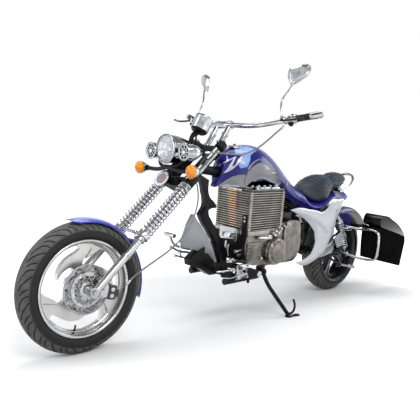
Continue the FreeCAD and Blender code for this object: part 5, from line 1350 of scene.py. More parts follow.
springs()
fork_legs()
oval_badge()
front_guard()
calliper()
grip_set()
hand_control_set()
bar_and_risers()
mirror_set()
headlamp()
speaker_set()
signal_set()
carrier()
dial()
hoses()


# ---------------- engine
BLOCK_BACK, BLOCK_FRONT, BLOCK_HALF = -159, 129, 130
FIN_LOW, FIN_PITCH, FIN_COUNT = 494, 12.7, 17


def fin_alloy_painted_reflection():
    """Fin alloy with a painted orange reflection on the front of the fins and a dark violet strip, where the
    attributes say.
    """
    made = Finish("fin_alloy_painted_reflection", 1.0)
    plain = made.mottled((0.37, 0.345, 0.305), (0.2, 0.18, 0.155), 16, 0.9, 0.26, 0.12)
    # Painted orange reflection on the front of the fins.
    warm = made.mottle((0.80, 0.44, 0.22), (0.62, 0.42, 0.3), 22, 0.9, 0.3, 0.1)
    coat = made.mixed(made.area("violet", 7.0), (plain, 0), (0.16, 0.08, 0.14))
    made.link(made.mixed(made.area("copper", 14.0), coat, (warm, 0)), "Base Color")
    return made.grained(600, 0.0001).material


FIN_ALLOY_PAINTED_REFLECTION = fin_alloy_painted_reflection()


def cylinder():
    """Finned block with beaded corner columns, a dark core as painted shade between the fins, and head."""
    middle = (BLOCK_BACK + BLOCK_FRONT) / 2
    fins = grow("fins", FINS, ENGINE @ shift(middle, 0, FIN_LOW), length=0.288, width=0.26, corner=0.013,
                thickness=0.0036, count=FIN_COUNT, pitch=FIN_PITCH * MM, material=FIN_ALLOY_PAINTED_REFLECTION)
    cut = bmesh.new()
    cut.from_mesh(fins.data)
    long_edges = [e for e in cut.edges if e.calc_length() > 0.03]
    bmesh.ops.subdivide_edges(cut, edges=long_edges, cuts=24)
    bmesh.ops.triangulate(cut, faces=cut.faces)
    cut.to_mesh(fins.data)
    cut.free()
    points = local_points(fins, ENGINE)
    share = np.clip((712 - points[:, 2]) / 220, 0, 1)
    ahead = points[:, 0] - 118
    band = 34 - 14 * share - np.abs(points[:, 1] - (-14 + 22 * share))
    # Painted orange reflection across the front faces of the fins; a dark violet strip beside it.
    store(fins, "copper", np.minimum(band, ahead))
    store(fins, "violet", np.minimum(12 - np.abs(points[:, 1] - (30 + 4 * share)),
                                     np.minimum(ahead, points[:, 2] - 600)))
    settle(fins, "chassis", "engine_alloy", "cylinder_block")

    # The core is dark alloy: painted shade in the gaps between the fins.
    core = Maker(ENGINE)
    core.block((BLOCK_BACK + 13, -BLOCK_HALF + 13, 476), (BLOCK_FRONT - 13, BLOCK_HALF - 13, 712))
    core.piece("block_core", DARK_ALLOY, "chassis", "engine_alloy", edge=2)

    solid = Maker(ENGINE)
    solid.block((BLOCK_BACK + 1, -BLOCK_HALF + 1, 470.5), (BLOCK_FRONT - 1, BLOCK_HALF - 1, 491))
    for x in (BLOCK_BACK + 11, BLOCK_FRONT - 11):
        for sign in (-1, 1):
            profile = [(0, 471)]
            for k in range(FIN_COUNT * 8 + 1):
                z = 484 + k * (FIN_PITCH / 8) * 1.03
                profile.append((9.6 + 2.2 * math.cos(2 * math.pi * k / 8), z))
            profile += [(0, profile[-1][1])]
            solid.lathe(profile, shift(x, sign * (BLOCK_HALF - 10.5), 0), 20)
    solid.piece("block_columns", FIN_ALLOY, "chassis", "engine_alloy", edge=1, angle=60)

    head = Maker(ENGINE)
    head.block((BLOCK_BACK + 6, -125, 710), (BLOCK_FRONT - 6, 125, 718))
    head.block((-128, -104, 718), (112, 104, 731))
    head.piece("head_plate", ENGINE_ALLOY, "chassis", "engine_alloy", edge=2.5)
    cover = Maker(ENGINE)
    for sign in (-1, 1):
        cover.rod((-118, sign * 112, 719), (-52, sign * 112, 719), 10, 28, 2)
        cover.rod((-40, sign * 114, 722), (44, sign * 114, 722), 8.5, 28, 2)
        cover.lathe([(0, 0), (15, 0), (17, 3), (17, 12), (14, 16), (0, 16)],
                    aim((66, sign * 108, 724), (0, sign, 0.2)), 32)
        cover.lathe([(0, 0), (13, 0), (14, 3), (14, 10), (11, 14), (0, 14)],
                    aim((-88, sign * 106, 733), (0, sign, 0.3)), 32)
    cover.block((122, -92, 704), (131, 60, 714))
    cover.piece("rocker_covers", CHROME, "chassis", "chrome", edge=1, angle=30)
    caps = [((x, sign * 98, 731), (0, 0, 1)) for x in (-104, -56, -8, 40, 88) for sign in (-1, 1)]
    screws("head_bolts", caps, 7, 6, ENGINE, "chassis")

    slot = Maker(ENGINE)
    slot.block((116, 80, 428), (130.6, 116, 578))
    slot.piece("belt_slot", SATIN_BLACK, "chassis", "black_paint", edge=2)
    screws("slot_screws", [((131, 99, z), (1, 0, 0)) for z in (566, 546)], 4.5, 4, ENGINE, "chassis")


def crank():
    """Crankcase with raised side cases, ribs, its dark front and the finned drum."""
    dress("crankcase", ENGINE_ALLOY, 6)
    raised, ribs = Maker(ENGINE), Maker(ENGINE)
    tall = loop_through([(-186, 520), (-236, 533), (-300, 527), (-326, 505), (-334, 440), (-341, 396),
                         (-330, 340), (-292, 296), (-240, 288), (-190, 292), (-176, 330), (-178, 430)], 4)
    for sign in (-1, 1):
        raised.plate(tall, *flank(sign, 122, 133), place=UPRIGHT)
        raised.plate(loop_through([(-58, 470), (124, 470), (126, 440), (118, 426), (-50, 426), (-64, 446)],
                                  3), *flank(sign, 122, 128), place=UPRIGHT)
        for k in range(11):
            z = 316 + k * 18
            x = -338 + 8 * abs(k - 5) / 5
            ribs.rod((x - 3, sign * 104, z), (x + 16, sign * 131, z), 4.5, 12)
    raised.piece("side_cases", ENGINE_ALLOY, "chassis", "engine_alloy", edge=4, segments=3, angle=40)
    ribs.piece("case_ribs", ENGINE_ALLOY, "chassis", "engine_alloy", angle=50)
    front = Maker(ENGINE)
    front.plate([(132, 468), (136, 402), (123, 333), (62, 299), (40, 294), (40, 298), (63, 303.5), (121, 336),
                 (133.6, 402), (129.5, 468)], -121, 112, place=UPRIGHT)
    front.block((131, -96, 330), (137, 96, 412))
    front.piece("front_case", SATIN_BLACK, "chassis", "black_paint", edge=1)
    drum = Maker(ENGINE)
    for k in range(12):
        y = -104 + 17.6 * k
        drum.lathe([(0, 0), (63.5, 0), (64.5, 1), (64.5, 4.5), (63.5, 5.5), (0, 5.5)],
                   aim((-352, y, 424), (0, 1, 0)), 60)
    drum.piece("drum_fins", DARK_ALLOY, "chassis", "engine_alloy", angle=30)
    levers = Maker(ENGINE)
    levers.tube([(140, -58, 424), (156, -50, 412), (160, -64, 396), (152, -78, 388)], 6, 14)
    levers.tube([(140, -16, 420), (148, -10, 380), (146, -8, 344)], 7, 14)
    levers.tube([(142, 6, 404), (150, 8, 372), (146, 12, 340)], 4.5, 12)
    levers.rod((128, 96, 390), (190, 98, 386), 9, 24, 1.5)
    levers.rod((128, 96, 366), (164, 96, 364), 6.5, 20, 1)
    levers.lathe([(0, 0), (13, 0), (14, 2), (14, 10), (10, 13), (0, 13)], aim((150, -70, 392), (1, 0.2, 0)),
                 28)
    levers.piece("front_linkage", BRIGHT_ALLOY, "chassis", "polished_alloy", angle=40)


def covers():
    """Round stepped covers with their screws, ribbed gear cover and chrome fittings."""
    round_ones, ribs, fittings = Maker(ENGINE), Maker(ENGINE), Maker(ENGINE)
    spots = []
    for sign in (-1, 1):
        place = aim((-103, sign * 122, 368), (0, sign, 0), (1, 0, 0))
        round_ones.lathe([(0, 0), (81, 0), (81, 14), (78, 18), (76, 30), (72, 33.5), (60, 34.5), (58, 37),
                          (56, 42.5), (50, 44), (20, 46), (0, 46.5)], place, 96)
        spots += on_circle((-103, sign * 154.5, 368), (0, sign, 0), 67, 7, 12, (1, 0, 0))
        round_ones.plate(loop_through([(30, 302), (128, 318), (131, 360), (129, 422), (118, 430), (34, 430),
                                       (27, 420), (26, 316)], 4), *flank(sign, 122, 136), place=UPRIGHT)
        for k in range(7):
            z = 338 + 12.5 * k
            ribs.rod((34, sign * 137, z), (124, sign * 137, z), 3.4, 12, 0.5)
        for z in (334, 352, 372, 392, 412, 426):
            ribs.ball((127, sign * 135, z), 7.5, (0, sign, 0), 16)
        ribs.rod((127, sign * 133, 322), (127, sign * 133, 430), 5, 14, 1)
        fittings.rod((-34, sign * 138, 447), (50, sign * 142, 455), 10, 28, 2)
        fittings.rod((48, sign * 142, 455), (60, sign * 143, 456), 6, 20, 1)
        fittings.lathe([(0, 0), (14, 0), (16, 3), (16, 10), (12, 14), (0, 14)], outward(sign, -52, 126, 452),
                       32)
        for x, z, r in ((-78, 470, 9), (-104, 484, 8), (-96, 460, 11), (-128, 470, 12), (-150, 492, 9),
                        (-122, 500, 7)):
            fittings.lathe([(0, 0), (r, 0), (r, 6), (r - 2, 9), (0, 10)], outward(sign, x, 127, z), 20)
        fittings.tube([(-160, sign * 134, 512), (-176, sign * 140, 500), (-196, sign * 138, 516),
                       (-222, sign * 136, 512)], 5, 14)
        fittings.tube([(-60, sign * 138, 474), (-84, sign * 142, 480), (-112, sign * 140, 476),
                       (-140, sign * 138, 486)], 4.5, 12)
        fittings.rod((16, sign * 130, 340), (16, sign * 142, 340), 9, 6, 1)
    round_ones.piece("case_covers", ENGINE_ALLOY, "chassis", "engine_alloy", "engine_covers", edge=1.4,
                     angle=32)
    ribs.piece("gear_ribs", ENGINE_ALLOY, "chassis", "engine_alloy", angle=50)
    fittings.piece("case_fittings", CHROME, "chassis", "chrome", angle=32)
    screws("cover_screws", spots, 4.6, 3.5, ENGINE, "chassis")


def intake_oval(wide, tall):
    return [(2 + wide * x, 459 + tall * y) for x, y in ring_of(1, 36)]


def carburettor():
    """Pale bracket round an oval intake."""
    face = aim((130.5, 0, 0), (1, 0, 0), (0, 1, 0))
    outer = [(-62, 497), (-50, 500), (52, 500), (64, 496), (66, 440), (56, 424), (44, 440), (-50, 428),
             (-64, 432)]
    core = intake_oval(36, 9)
    plate = Maker(ENGINE)
    plate.plate(outer, 0, 20, [intake_oval(46, -17)], face)
    plate.piece("intake_bracket", BRIGHT_ALLOY, "chassis", "engine_alloy", "carburettor", edge=2, segments=3)
    bowl = Maker(ENGINE)
    bowl.plate(intake_oval(44, 15.5), 2, 36, [core], face)
    bowl.piece("intake_ring", CHROME, "chassis", "chrome", edge=2.5, segments=3)
    inside = Maker(ENGINE)
    inside.plate(core, 0.5, 24, place=face)
    inside.piece("intake_core", SATIN_BLACK, "chassis", "black_paint")


cylinder()
crank()
covers()
carburettor()


# ---------------- tank and its painted panels
SLANT_HALF = 134
PANEL_MAIN = [(177, 733), (189, 758), (194, 776), (182, 793), (175, 817), (156, 827), (141, 841), (106, 859),
              (62, 866), (14, 854), (-35, 821), (-62, 807), (-25, 802), (-59, 792), (-116, 756), (-94, 736),
              (-20, 759), (42, 777), (86, 776), (123, 757), (151, 737)]
PANEL_BAND = [(180, 829), (165, 849), (137, 869), (102, 882), (70, 878), (102, 875), (130, 862), (154, 842),
              (167, 823)]
PANEL_SCOOP = [(414, 735), (368, 756), (322, 777), (284, 791), (240, 799), (197, 801), (184, 793), (194, 776),
               (189, 758), (177, 733), (250, 735), (318, 735), (372, 735)]
# Outline of the painted highlight on the tank top.
PAINTED_HIGHLIGHT_PATCH = [(284, 931), (268, 940), (194, 945), (146, 937), (114, 926), (143, 913), (163, 901), (164, 873),
             (181, 840), (233, 832), (248, 850), (221, 880), (211, 896), (269, 899), (279, 910)]
FLAME = [(399, 835), (376, 853), (332, 866), (287, 882), (306, 858), (322, 836), (355, 807), (326, 813),
         (288, 828), (252, 852), (221, 883), (215, 893), (235, 894), (255, 876), (274, 848), (288, 840),
         (294, 845), (281, 868), (268, 892), (281, 891), (316, 876), (352, 864), (389, 849)]
TICK = [(342, 895), (336, 895), (327, 866), (338, 866)]


def art_points(piece):
    """Side-on drawing coordinates of a panelled body: both flanks share one slanted drawing."""
    points = local_points(piece, ENGINE)
    inward = SLANT_HALF - np.abs(points[:, 1])
    along = points[:, 0] + inward
    rise = points[:, 2] + inward * (0.15 - 0.0005 * (points[:, 2] - 715))
    return np.stack([along, rise], 1)


def press(piece, amount):
    """Moves each vertex along its normal by an amount in millimetres."""
    normals = np.array([v.normal for v in piece.data.vertices])
    points = np.array([v.co for v in piece.data.vertices]) + normals * np.reshape(amount, (-1, 1)) * MM
    piece.data.vertices.foreach_set("co", points.ravel())
    piece.data.update()


def thicken(piece, thickness):
    """Gives an open sheet its thickness, centred on the drawn surface."""
    wall = piece.modifiers.new("wall", "SOLIDIFY")
    wall.thickness, wall.offset = thickness * MM, 0
    wall.use_even_offset = False
    bevel = piece.modifiers.new("edge", "BEVEL")
    bevel.width, bevel.segments, bevel.limit_method = 0.8 * MM, 2, "ANGLE"
    apply_all(piece)
    piece.data.shade_smooth()
    piece.data.set_sharp_from_angle(angle=math.radians(50))


def rounded_step(distance, width):
    t = np.clip(distance / width, 0, 1)
    return t * t * (3 - 2 * t)


def tank_skin():
    piece = moulded("tank", "tank_skin", 3.4, 7)
    where = art_points(piece)
    main, band, scoop = (distance_inside(where, outline) for outline in (PANEL_MAIN, PANEL_BAND, PANEL_SCOOP))
    grey = np.maximum(np.maximum(main, band), scoop)
    press(piece, -3.2 * rounded_step(grey, 9) - 1.6 * rounded_step(scoop, 26))
    store(piece, "grey", grey)
    store(piece, "shade", np.maximum(1.5 - np.abs(main + 1.2), 1.2 - np.abs(scoop + 1.0)))
    # Painted highlight: a pale patch on the tank top.
    store(piece, "sky", distance_inside(where, PAINTED_HIGHLIGHT_PATCH))
    store(piece, "flames", np.maximum(distance_inside(where, FLAME), distance_inside(where, TICK)))
    paint_only(piece, TANK_PAINT)
    settle(piece, "chassis", "blue_paint", "tank")
    screws("tank_bolts", [((-193, sign * 106, 741), (0, sign, 0.1)) for sign in (-1, 1)], 5.5, 4, ENGINE,
           "chassis", sides=20)
    cap, neck = Maker(ENGINE), aim((150, 0, 932), (0.12, 0, 1))
    cap.lathe([(0, 0), (36, 0), (38, 2), (38, 7), (34, 11), (12, 13), (0, 13.4)], neck, 60)
    cap.lathe([(0, 13), (9, 13), (9, 17), (7, 19), (0, 19)], neck, 6)
    cap.piece("filler_cap", CHROME, "chassis", "chrome", edge=0.6, angle=30)


def arc_outline(points, steps=10):
    """Outline whose third numbers bow an edge into an arc, as a share of its half length."""
    line = []
    for here, there in zip(points, points[1:] + points[:1]):
        line.append(here[:2])
        across, up = there[0] - here[0], there[1] - here[1]
        bow = here[2] if len(here) > 2 else 0
        for k in range(1, steps if bow else 1):
            t = k / steps
            out = 2 * bow * t * (1 - t)
            line.append((here[0] + across * t + up * out, here[1] + up * t - across * out))
    return line


CRESCENT = [(-166, 602, 0.12), (-340, 598, 0.06), (-470, 574, -0.25), (-566, 632, 0.1), (-709, 648, 0.05),
            (-640, 527, -0.04), (-630, 433), (-596, 404, 0.16), (-469, 289, 0.1), (-335, 262, 0.06),
            (-256, 292, -0.15), (-401, 324, -0.3), (-430, 456, -0.12), (-262, 566, -0.03)]
RIDGE = [(-150, 606), (-259, 583), (-362, 558), (-461, 519), (-533, 476), (-572, 440), (-560, 400),
         (-440, 400), (-300, 480), (-150, 580)]


def crescents():
    """Sculpted crescent panels with a soft inner ridge and two bolts each."""
    outline = arc_outline(CRESCENT)
    rim = []
    for (x, z), (x2, z2) in zip(outline, outline[1:] + outline[:1]):
        count = max(1, round(math.hypot(x2 - x, z2 - z) / 7))
        rim += [(x + (x2 - x) * k / count, z + (z2 - z) * k / count) for k in range(count)]
    grid = np.array([(x, z) for x in range(-706, -160, 7) for z in range(262, 660, 7)], float)
    inner = grid[distance_inside(grid, outline) > 4]
    spots = [Vector(p) for p in rim] + [Vector(p) for p in inner]
    flat, _, faces, *_ = delaunay_2d_cdt(spots, [], [list(range(len(rim)))], 1, 1e-4)
    where = np.array([tuple(p) for p in flat])
    depth = distance_inside(where, outline)
    fold = distance_inside(where, RIDGE)
    rise = 168 + 2.5 * rounded_step(depth, 5) + 5 * rounded_step(depth, 30) - 0.3 * np.clip(fold, 0, 24)
    shell = Maker(ENGINE)
    for sign in (-1, 1):
        shell.add([(p.x, sign * y, p.y) for p, y in zip(flat, rise)], faces)
    piece = shell.piece("crescent_panels", SILVER_PAINT, "chassis", "silver_paint", "side_panels")
    thicken(piece, 4)
    spots = [((x, sign * 173, z), (0, sign, 0)) for sign in (-1, 1) for x, z in ((-409, 562), (-616, 582))]
    screws("panel_bolts", spots, 6, 4.5, ENGINE, "chassis", sides=16)


def frame_parts():
    dress("frame", FRAME_BLACK, 1.5)
    dress("chin_panel", GREY_PAINT, 4)
    tail = moulded("tail_body", "tail_shell", 3.2, 6)
    paint_only(tail, BLUE_PAINT)
    settle(tail, "chassis", "blue_paint", "tail_body")
    caps = Maker(ENGINE)
    for sign in (-1, 1):
        caps.lathe([(0, 0), (15, 0), (17.6, 2), (17.6, 9), (0, 9)], aim((277, sign * 130, 242), (1, 0, 0)),
                   40)
    caps.piece("rail_caps", GRIP_RUBBER, "chassis", "black_paint", edge=0.8)


tank_skin()
crescents()
frame_parts()


# ---------------- seats
PRESSURE, CLOTH_FRAMES = 4, 20
SEAM_SWEEP = 0.12  # how far a seam runs back for each millimetre outwards
THREAD_STEP = 7.0


def swollen(piece, cap):
    """Cloth pressure fills the pad; no point moves further than the cap, in millimetres."""
    press(piece, -4)
    start = np.array([v.co for v in piece.data.vertices])
    cloth = piece.modifiers.new("swell", "CLOTH")
    cloth.settings.use_pressure = True
    cloth.settings.uniform_pressure_force = PRESSURE
    cloth.settings.effector_weights.gravity = 0
    cloth.point_cache.frame_start, cloth.point_cache.frame_end = 1, CLOTH_FRAMES
    for number in range(1, CLOTH_FRAMES + 1):
        bpy.context.scene.frame_set(number)
    apply_all(piece)
    bpy.context.scene.frame_set(1)
    move = np.array([v.co for v in piece.data.vertices]) - start
    length = np.linalg.norm(move, axis=1)[:, None]
    kept = start + move * np.minimum(1, cap * MM / np.maximum(length, 1e-9))
    piece.data.vertices.foreach_set("co", kept.ravel())
    piece.data.update()


def pad(node, name, seams, edge_z, cap):
    """Padded leather with sewn channels across it, a seam round its foot, and their stitches."""
    piece = moulded(node, name, 5, 3)
    swollen(piece, cap)
    fine = piece.modifiers.new("fine", "SUBSURF")
    fine.levels = fine.render_levels = 1
    apply_all(piece)
    points = local_points(piece, ENGINE)
    lean = points[:, 0] + SEAM_SWEEP * np.abs(points[:, 1]) - 0.25 * (points[:, 2] - 780)
    across = np.min([np.abs(lean - x) for x in seams], axis=0)
    top = np.clip((points[:, 2] - edge_z) / 22, 0, 1)
    groove = 5.5 * np.exp(-(across / 4.2) ** 2) * top
    foot = 2.5 * np.exp(-((points[:, 2] - edge_z) / 3.0) ** 2)
    press(piece, -groove - foot + 1.5 * top * rounded_step(across, 16))
    piece.data.shade_smooth()
    paint_only(piece, LEATHER)
    settle(piece, "chassis", "seat_leather", node)
    skin = BVHTree.FromPolygons([v.co for v in piece.data.vertices],
                                [p.vertices for p in piece.data.polygons])
    turned, edges, spots = ENGINE.to_3x3(), [], []
    for x in seams:
        last = None
        for k in range(-14, 15):
            y = k * THREAD_STEP
            spot = ENGINE @ (Vector((x - SEAM_SWEEP * abs(y) + 7, y, 900)) * MM)
            hit, normal, _, _ = skin.ray_cast(spot, turned @ Vector((0, 0, -1)))
            if hit is None or ((ENGINE.inverted() @ hit).z / MM) < edge_z + 14:
                last = None
                continue
            spots.append(hit + normal * 0.0006)
            if last is not None:
                edges.append((last, len(spots) - 1))
            last = len(spots) - 1
    seed = bpy.data.meshes.new(name + "_seams")
    seed.from_pydata(spots, edges, [])
    thread = grow(name + "_stitches", STITCHES, Matrix(), seed, material=SATIN_BLACK)
    settle(thread, "chassis", "seat_leather")


def seats():
    pad("seat", "seat_cushion", (-520, -556, -592, -628, -664, -700), 706, 6)
    pad("pillion_pad", "pillion_cushion", (-748, -782, -816, -850), 738, 5)
    dress("grab_rail", CHROME, 1)


# ---------------- rear fender, arm and shocks
REAR_RADIUS, FENDER_GAP, FENDER_HALF, SHEET, BAG_INNER = 274.5, 25.5, 108, 4, 222
SKIRT_LOW = 430 - REAR_RADIUS


def rear_band():
    """Rolled fender over the rear tyre, blue on its upper front and gloss black behind."""
    outer = REAR_RADIUS + FENDER_GAP + SHEET / 2
    half, corner = FENDER_HALF - SHEET / 2, 34
    section = [(half, y) for y in np.linspace(150, outer - corner, 16)]
    section += [(half - corner + corner * math.cos(a), outer - corner + corner * math.sin(a))
                for a in np.linspace(0, math.pi / 2, 9)[1:]]
    section += [(y, outer) for y in np.linspace(half - corner, 0, 9)[1:]]
    section += [(-y, r) for y, r in reversed(section[:-1])]
    vertices, faces, rows = [], [], 97
    for k in range(rows):
        angle = math.radians(52.5 + 113 * k / (rows - 1))
        for y, r in section:
            x, z = r * math.cos(angle), max(r * math.sin(angle), SKIRT_LOW)
            vertices.append((x, y, z))
    wide = len(section)
    for k in range(rows - 1):
        for n in range(wide - 1):
            a = k * wide + n
            quad = [a, a + 1, a + wide + 1, a + wide]
            if max(vertices[i][2] for i in quad) > SKIRT_LOW + 0.01:
                faces.append(quad)
    shell = Maker(REAR_WHEEL)
    shell.add(vertices, faces)
    piece = shell.piece("rear_fender_band", FENDER_PAINT, "chassis", "black_gloss", "rear_fender")
    points = local_points(piece, REAR_WHEEL)
    store(piece, "blue", (100 - np.degrees(np.arctan2(points[:, 2], points[:, 0]))) * 5)
    thicken(piece, SHEET)


def fender_stays():
    rods = Maker(CHASSIS)
    for sign in SIDES:
        for x, high, low in ((-60, 462, 458), (-235, 446, 410)):
            rods.rod((x, sign * 106, high), (x, sign * (BAG_INNER + 2), low), 8, 20)
    rods.piece("fender_stays", FRAME_BLACK, "chassis", "black_paint", edge=0.5)


def shocks():
    """Coil-over shock absorbers with bright bodies."""
    low, high = Vector((62, 0, 300)), Vector((190, 0, 548))
    run = high - low
    place = CHASSIS @ aim(low + run * 0.17, run, (1, 0, 0))
    coil = grow("shock_coils", COIL, place, radius=0.0195, wire=0.0042, height=run.length * 0.62 * MM,
                turns=11.0, spread=0.146, material=CHROME)
    settle(coil, "chassis", "chrome")
    body = Maker(CHASSIS)
    for sign in SIDES:
        foot = aim((62, sign * 146, 300), run, (1, 0, 0))
        span = run.length
        body.lathe([(0, 0), (9, 0), (9, span * 0.12), (22, span * 0.12), (23, span * 0.13), (23, span * 0.17),
                    (14, span * 0.18), (13, span * 0.5), (11, span * 0.52), (11, span * 0.79),
                    (21, span * 0.8), (23, span * 0.81), (23, span * 0.84), (12, span * 0.86), (9, span),
                    (0, span)], foot, 40)
        for point in (low, high):
            body.lathe([(0, -9), (12, -9), (13, -8), (13, 8), (12, 9), (0, 9)],
                       aim((point.x, sign * 146, point.z), (0, 1, 0)), 32)
    body.piece("shock_bodies", CHROME, "chassis", "chrome", "rear_shocks", angle=30)
    dress("swingarm", FRAME_BLACK, 2)
    dress("rear_axle", CHROME, 1)
    caps = [((0, sign * 134.5, 274.5), (0, sign, 0)) for sign in SIDES]
    screws("rear_axle_nuts", caps, 12, 9, CHASSIS, "chassis")


# ---------------- brackets behind the side panels
def brackets():
    grey, silver, bright, dark = Maker(ENGINE), Maker(ENGINE), Maker(ENGINE), Maker(ENGINE)
    holes = [ring_of(5, 12, (-634 + 22 * a, 372 - 22 * b - 6 * a)) for a in range(7)
             for b in range(3) if a < 6 or b < 2]
    outline = [(-646, 388), (-612, 366), (-560, 350), (-500, 340), (-470, 316), (-470, 286), (-540, 290),
               (-600, 298), (-652, 306), (-668, 330)]
    holes = [hole for hole in holes if all(distance_inside(np.array([p]), outline)[0] > 3 for p in hole)]
    for sign in SIDES:
        grey.plate(outline, *flank(sign, 152, 155), holes, UPRIGHT)
        blade = arc_outline([(-787, 421, -0.4), (-673, 386), (-709, 331, 0.1), (-761, 339, 0.1), (-803, 399)])
        silver.plate(blade, *flank(sign, 150, 156), place=UPRIGHT)
        bright.rod((-791, sign * 150, 447), (-850, sign * 152, 446), 13, 28, 3)
        bright.rod((-775, sign * 146, 447), (-791, sign * 150, 447), 8, 20)
        bright.rod((-779, sign * 146, 212), (-930, sign * 158, 178), 7.5, 20, 2)
        bright.rod((-860, sign * 152, 194), (-930, sign * 158, 178), 11, 24, 3)
        dark.tube([(-640, sign * 146, 400), (-690, sign * 148, 420), (-740, sign * 148, 440),
                   (-790, sign * 148, 447)], 7, 14)
        dark.tube([(-600, sign * 140, 300), (-690, sign * 144, 250), (-779, sign * 146, 212)], 8, 14)
        dark.tube([(-470, sign * 140, 500), (-540, sign * 142, 440), (-600, sign * 146, 330)], 7, 14)
    grey.piece("perforated_plates", CAST_ALLOY, "chassis", "engine_alloy")
    silver.piece("silver_blades", SILVER_PAINT, "chassis", "silver_paint", edge=1.5)
    bright.piece("passenger_pegs", CHROME, "chassis", "chrome", angle=30)
    dark.piece("peg_arms", FRAME_BLACK, "chassis", "black_paint", angle=40)


# ---------------- bags
BAG_SHELL = paint("bag_shell", (0.006, 0.006, 0.006), (0.012, 0.012, 0.013), 0.5, 0.1, 0.0, (300, 0.00008),
                  gloss=0.0)


def bags():
    for side in ("left", "right"):
        dress("saddlebag_" + side, BAG_SHELL, 3)
        dress("bag_lid_" + side, GLOSS_BLACK, 5)
    dress("bag_guards", CHROME, 0.8)


# ---------------- footrests, pedal and stand
def footrests():
    dress("foot_controls", BRIGHT_ALLOY, 2)
    rubber, rods, dark = Maker(ENGINE), Maker(ENGINE), Maker(ENGINE)
    for sign in SIDES:
        profile = [(15.2, 0)]
        for k in range(8):
            z = 4 + k * 8
            profile += [(17.4, z), (17.4, z + 3.6), (15.8, z + 4.6), (15.8, z + 7)]
        profile += [(17, 70), (15.2, 72)]
        rubber.lathe(profile, outward(sign, 152, 176, 294), 40, closed=True)
        rods.tube([(228, sign * 154, 300), (262, sign * 150, 306), (300, sign * 132, 300),
                   (330, sign * 112, 296)], 5, 14)
        rods.tube([(228, sign * 154, 270), (258, sign * 148, 262), (292, sign * 130, 262)], 4, 12)
        rods.ball((262, sign * 150, 306), 9)
        rods.ball((300, sign * 132, 300), 8)
        rods.lathe([(0, -6), (14, -6), (15, -4), (15, 4), (14, 6), (0, 6)],
                   aim((183, sign * 165, 289), (0, 1, 0)), 32)
        rods.lathe([(0, -4), (9, -4), (10, -2), (10, 3), (8, 5), (0, 5)], outward(sign, 214, 163, 262), 28)
        rods.rod((250, sign * 150, 346), (286, sign * 176, 372), 6, 16, 1)
        rods.rod((286, sign * 176, 372), (330, sign * 182, 366), 7.5, 18, 1)
        dark.tube([(142, sign * 120, 262), (196, sign * 128, 250), (262, sign * 120, 270),
                   (310, sign * 80, 300)], 9, 14)
        dark.tube([(150, sign * 140, 330), (210, sign * 136, 342), (268, sign * 128, 330),
                   (300, sign * 90, 330)], 7, 12)
        near, far = flank(sign, 96, 140)
        dark.block((236, near, 258), (280, far, 300))
        dark.rod((120, sign * 150, 250), (140, sign * 165, 226), 8, 16, 1)
    rods.tube([(440, -130, 388), (379, -129, 359), (330, -122, 350), (285, -100, 338), (215, -84, 304)], 6.5,
              16)
    rods.tube([(423, -110, 344), (380, -112, 332), (316, -110, 313), (240, -106, 290)], 5, 14)
    for spot, size in (((440, -130, 388), 10), ((379, -129, 359), 11), ((423, -110, 344), 9),
                       ((380, -112, 332), 9)):
        rods.ball(spot, size)
    rods.rod((379, -129, 359), (380, -112, 332), 5, 14)
    rubber.piece("peg_rubbers", GRIP_RUBBER, "chassis", "grip_rubber", angle=35)
    rods.piece("foot_linkage", CHROME, "chassis", "chrome", angle=32)
    dark.piece("foot_brackets", SATIN_BLACK, "chassis", "black_paint", edge=1.2)
    bolts = [((x, sign * 162, z), (0, sign, 0)) for sign in SIDES for x, z in ((146, 320), (220, 318),
            (146, 258))]
    screws("peg_bolts", bolts, 5, 4, ENGINE, "chassis")
    dress("side_stand", FRAME_BLACK, 1.5)


seats()
rear_band()
fender_stays()
shocks()
brackets()
bags()
footrests()


# ---------------- floor, light and camera
def seen_rays(tree):
    """1 for what the camera, glass and mirrors see, 0 for what only lights."""
    sight = plug(tree, "ShaderNodeLightPath")
    either = maths(tree, "MAXIMUM", (sight, 0), (sight, 3))
    return maths(tree, "MAXIMUM", (either, 0), (sight, 6))


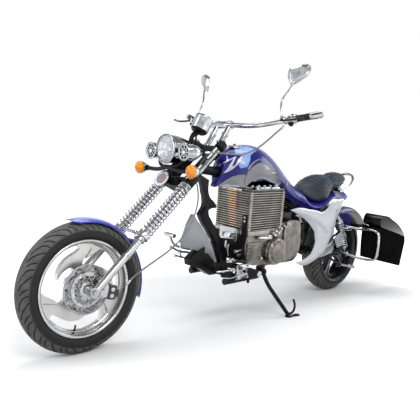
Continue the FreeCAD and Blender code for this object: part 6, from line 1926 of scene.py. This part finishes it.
def stage():
    bpy.ops.mesh.primitive_plane_add(size=60, location=(0, 0, 0))
    floor = bpy.context.object
    floor.name = "floor"
    made = Finish("floor_card", Specular_IOR_Level=0.0)
    made.shader.inputs["Roughness"].default_value = 1.0
    made.link((plug(made.tree, "ShaderNodeMix", {"data_type": "RGBA"}, _0=(seen_rays(made.tree), 0),
                    _6=(0.5, 0.5, 0.5, 1), _7=(0.93, 0.93, 0.93, 1)), 2), "Base Color")
    where = plug(made.tree, "ShaderNodeVectorMath", {"operation": "LENGTH"}, Vector=made.position)
    far = plug(made.tree, "ShaderNodeMapRange", Value=(where, 1), From_Min=1.2, From_Max=3.2)
    glow = maths(made.tree, "MULTIPLY", (far, 0), (seen_rays(made.tree), 0))
    made.link((glow, 0), "Emission Strength")
    made.shader.inputs["Emission Color"].default_value = (1, 1, 1, 1)
    floor.data.materials.append(made.material)

    world = bpy.data.worlds.new("studio")
    bpy.context.scene.world = world
    world.use_nodes = True
    tree = world.node_tree
    tree.nodes.clear()
    where = plug(tree, "ShaderNodeTexCoord")
    height = plug(tree, "ShaderNodeSeparateXYZ", Vector=(where, 0))
    dome = plug(tree, "ShaderNodeMapRange", Value=(height, 2), From_Min=-0.1, From_Max=0.9,
                To_Min=0.3, To_Max=0.7)
    ceiling = plug(tree, "ShaderNodeMapRange", {"interpolation_type": "SMOOTHSTEP"}, Value=(height, 2),
                   From_Min=0.32, From_Max=0.7, To_Min=1.0, To_Max=0.35)
    plain = plug(tree, "ShaderNodeBackground", Strength=(dome, 0), Color=(0.95, 0.97, 1.0, 1))
    white = plug(tree, "ShaderNodeBackground", Strength=(ceiling, 0), Color=(1, 1, 1, 1))
    mix = plug(tree, "ShaderNodeMixShader", _0=(seen_rays(tree), 0), _1=(plain, 0), _2=(white, 0))
    plug(tree, "ShaderNodeOutputWorld", Surface=(mix, 0))

    for name, at, size, power, colour in (
        ("key", (1.6, 3.4, 3.2), (2.6, 1.6), 95, (1.0, 0.98, 0.95)),
        ("fill", (3.6, -1.6, 1.9), (1.8, 2.2), 40, (0.93, 0.96, 1.0)),
        ("top", (-0.4, -0.4, 4.2), (3.2, 1.4), 60, (1.0, 1.0, 1.0)),
        ("rear", (-3.2, 1.4, 2.0), (1.4, 2.0), 30, (0.95, 0.97, 1.0)),
    ):
        lamp = bpy.data.lights.new(name, "AREA")
        lamp.shape, lamp.size, lamp.size_y = "RECTANGLE", size[0], size[1]
        lamp.energy, lamp.color = power, colour
        holder = linked(name, lamp)
        holder.location = at
        holder.rotation_euler = (Vector((0.1, 0, 0.5)) - Vector(at)).to_track_quat("-Z", "Y").to_euler()


def camera():
    """Three-quarter view from the front left, low over the ground."""
    azimuth, height, away = math.radians(45.8458), math.radians(3.9532), 3.0001
    looked_at = Vector((0.180627, -0.115379, 0.5909))
    back = Vector((math.cos(azimuth) * math.cos(height), math.sin(azimuth) * math.cos(height),
                   math.sin(height)))
    eye = linked("camera", bpy.data.cameras.new("camera"))
    eye.data.lens, eye.data.sensor_width = 47.64, 36
    eye.location = looked_at + back * away
    eye.rotation_euler = (-back).to_track_quat("-Z", "Y").to_euler()
    bpy.context.scene.camera = eye


stage()
camera()
bpy.context.scene.view_settings.view_transform = "Standard"
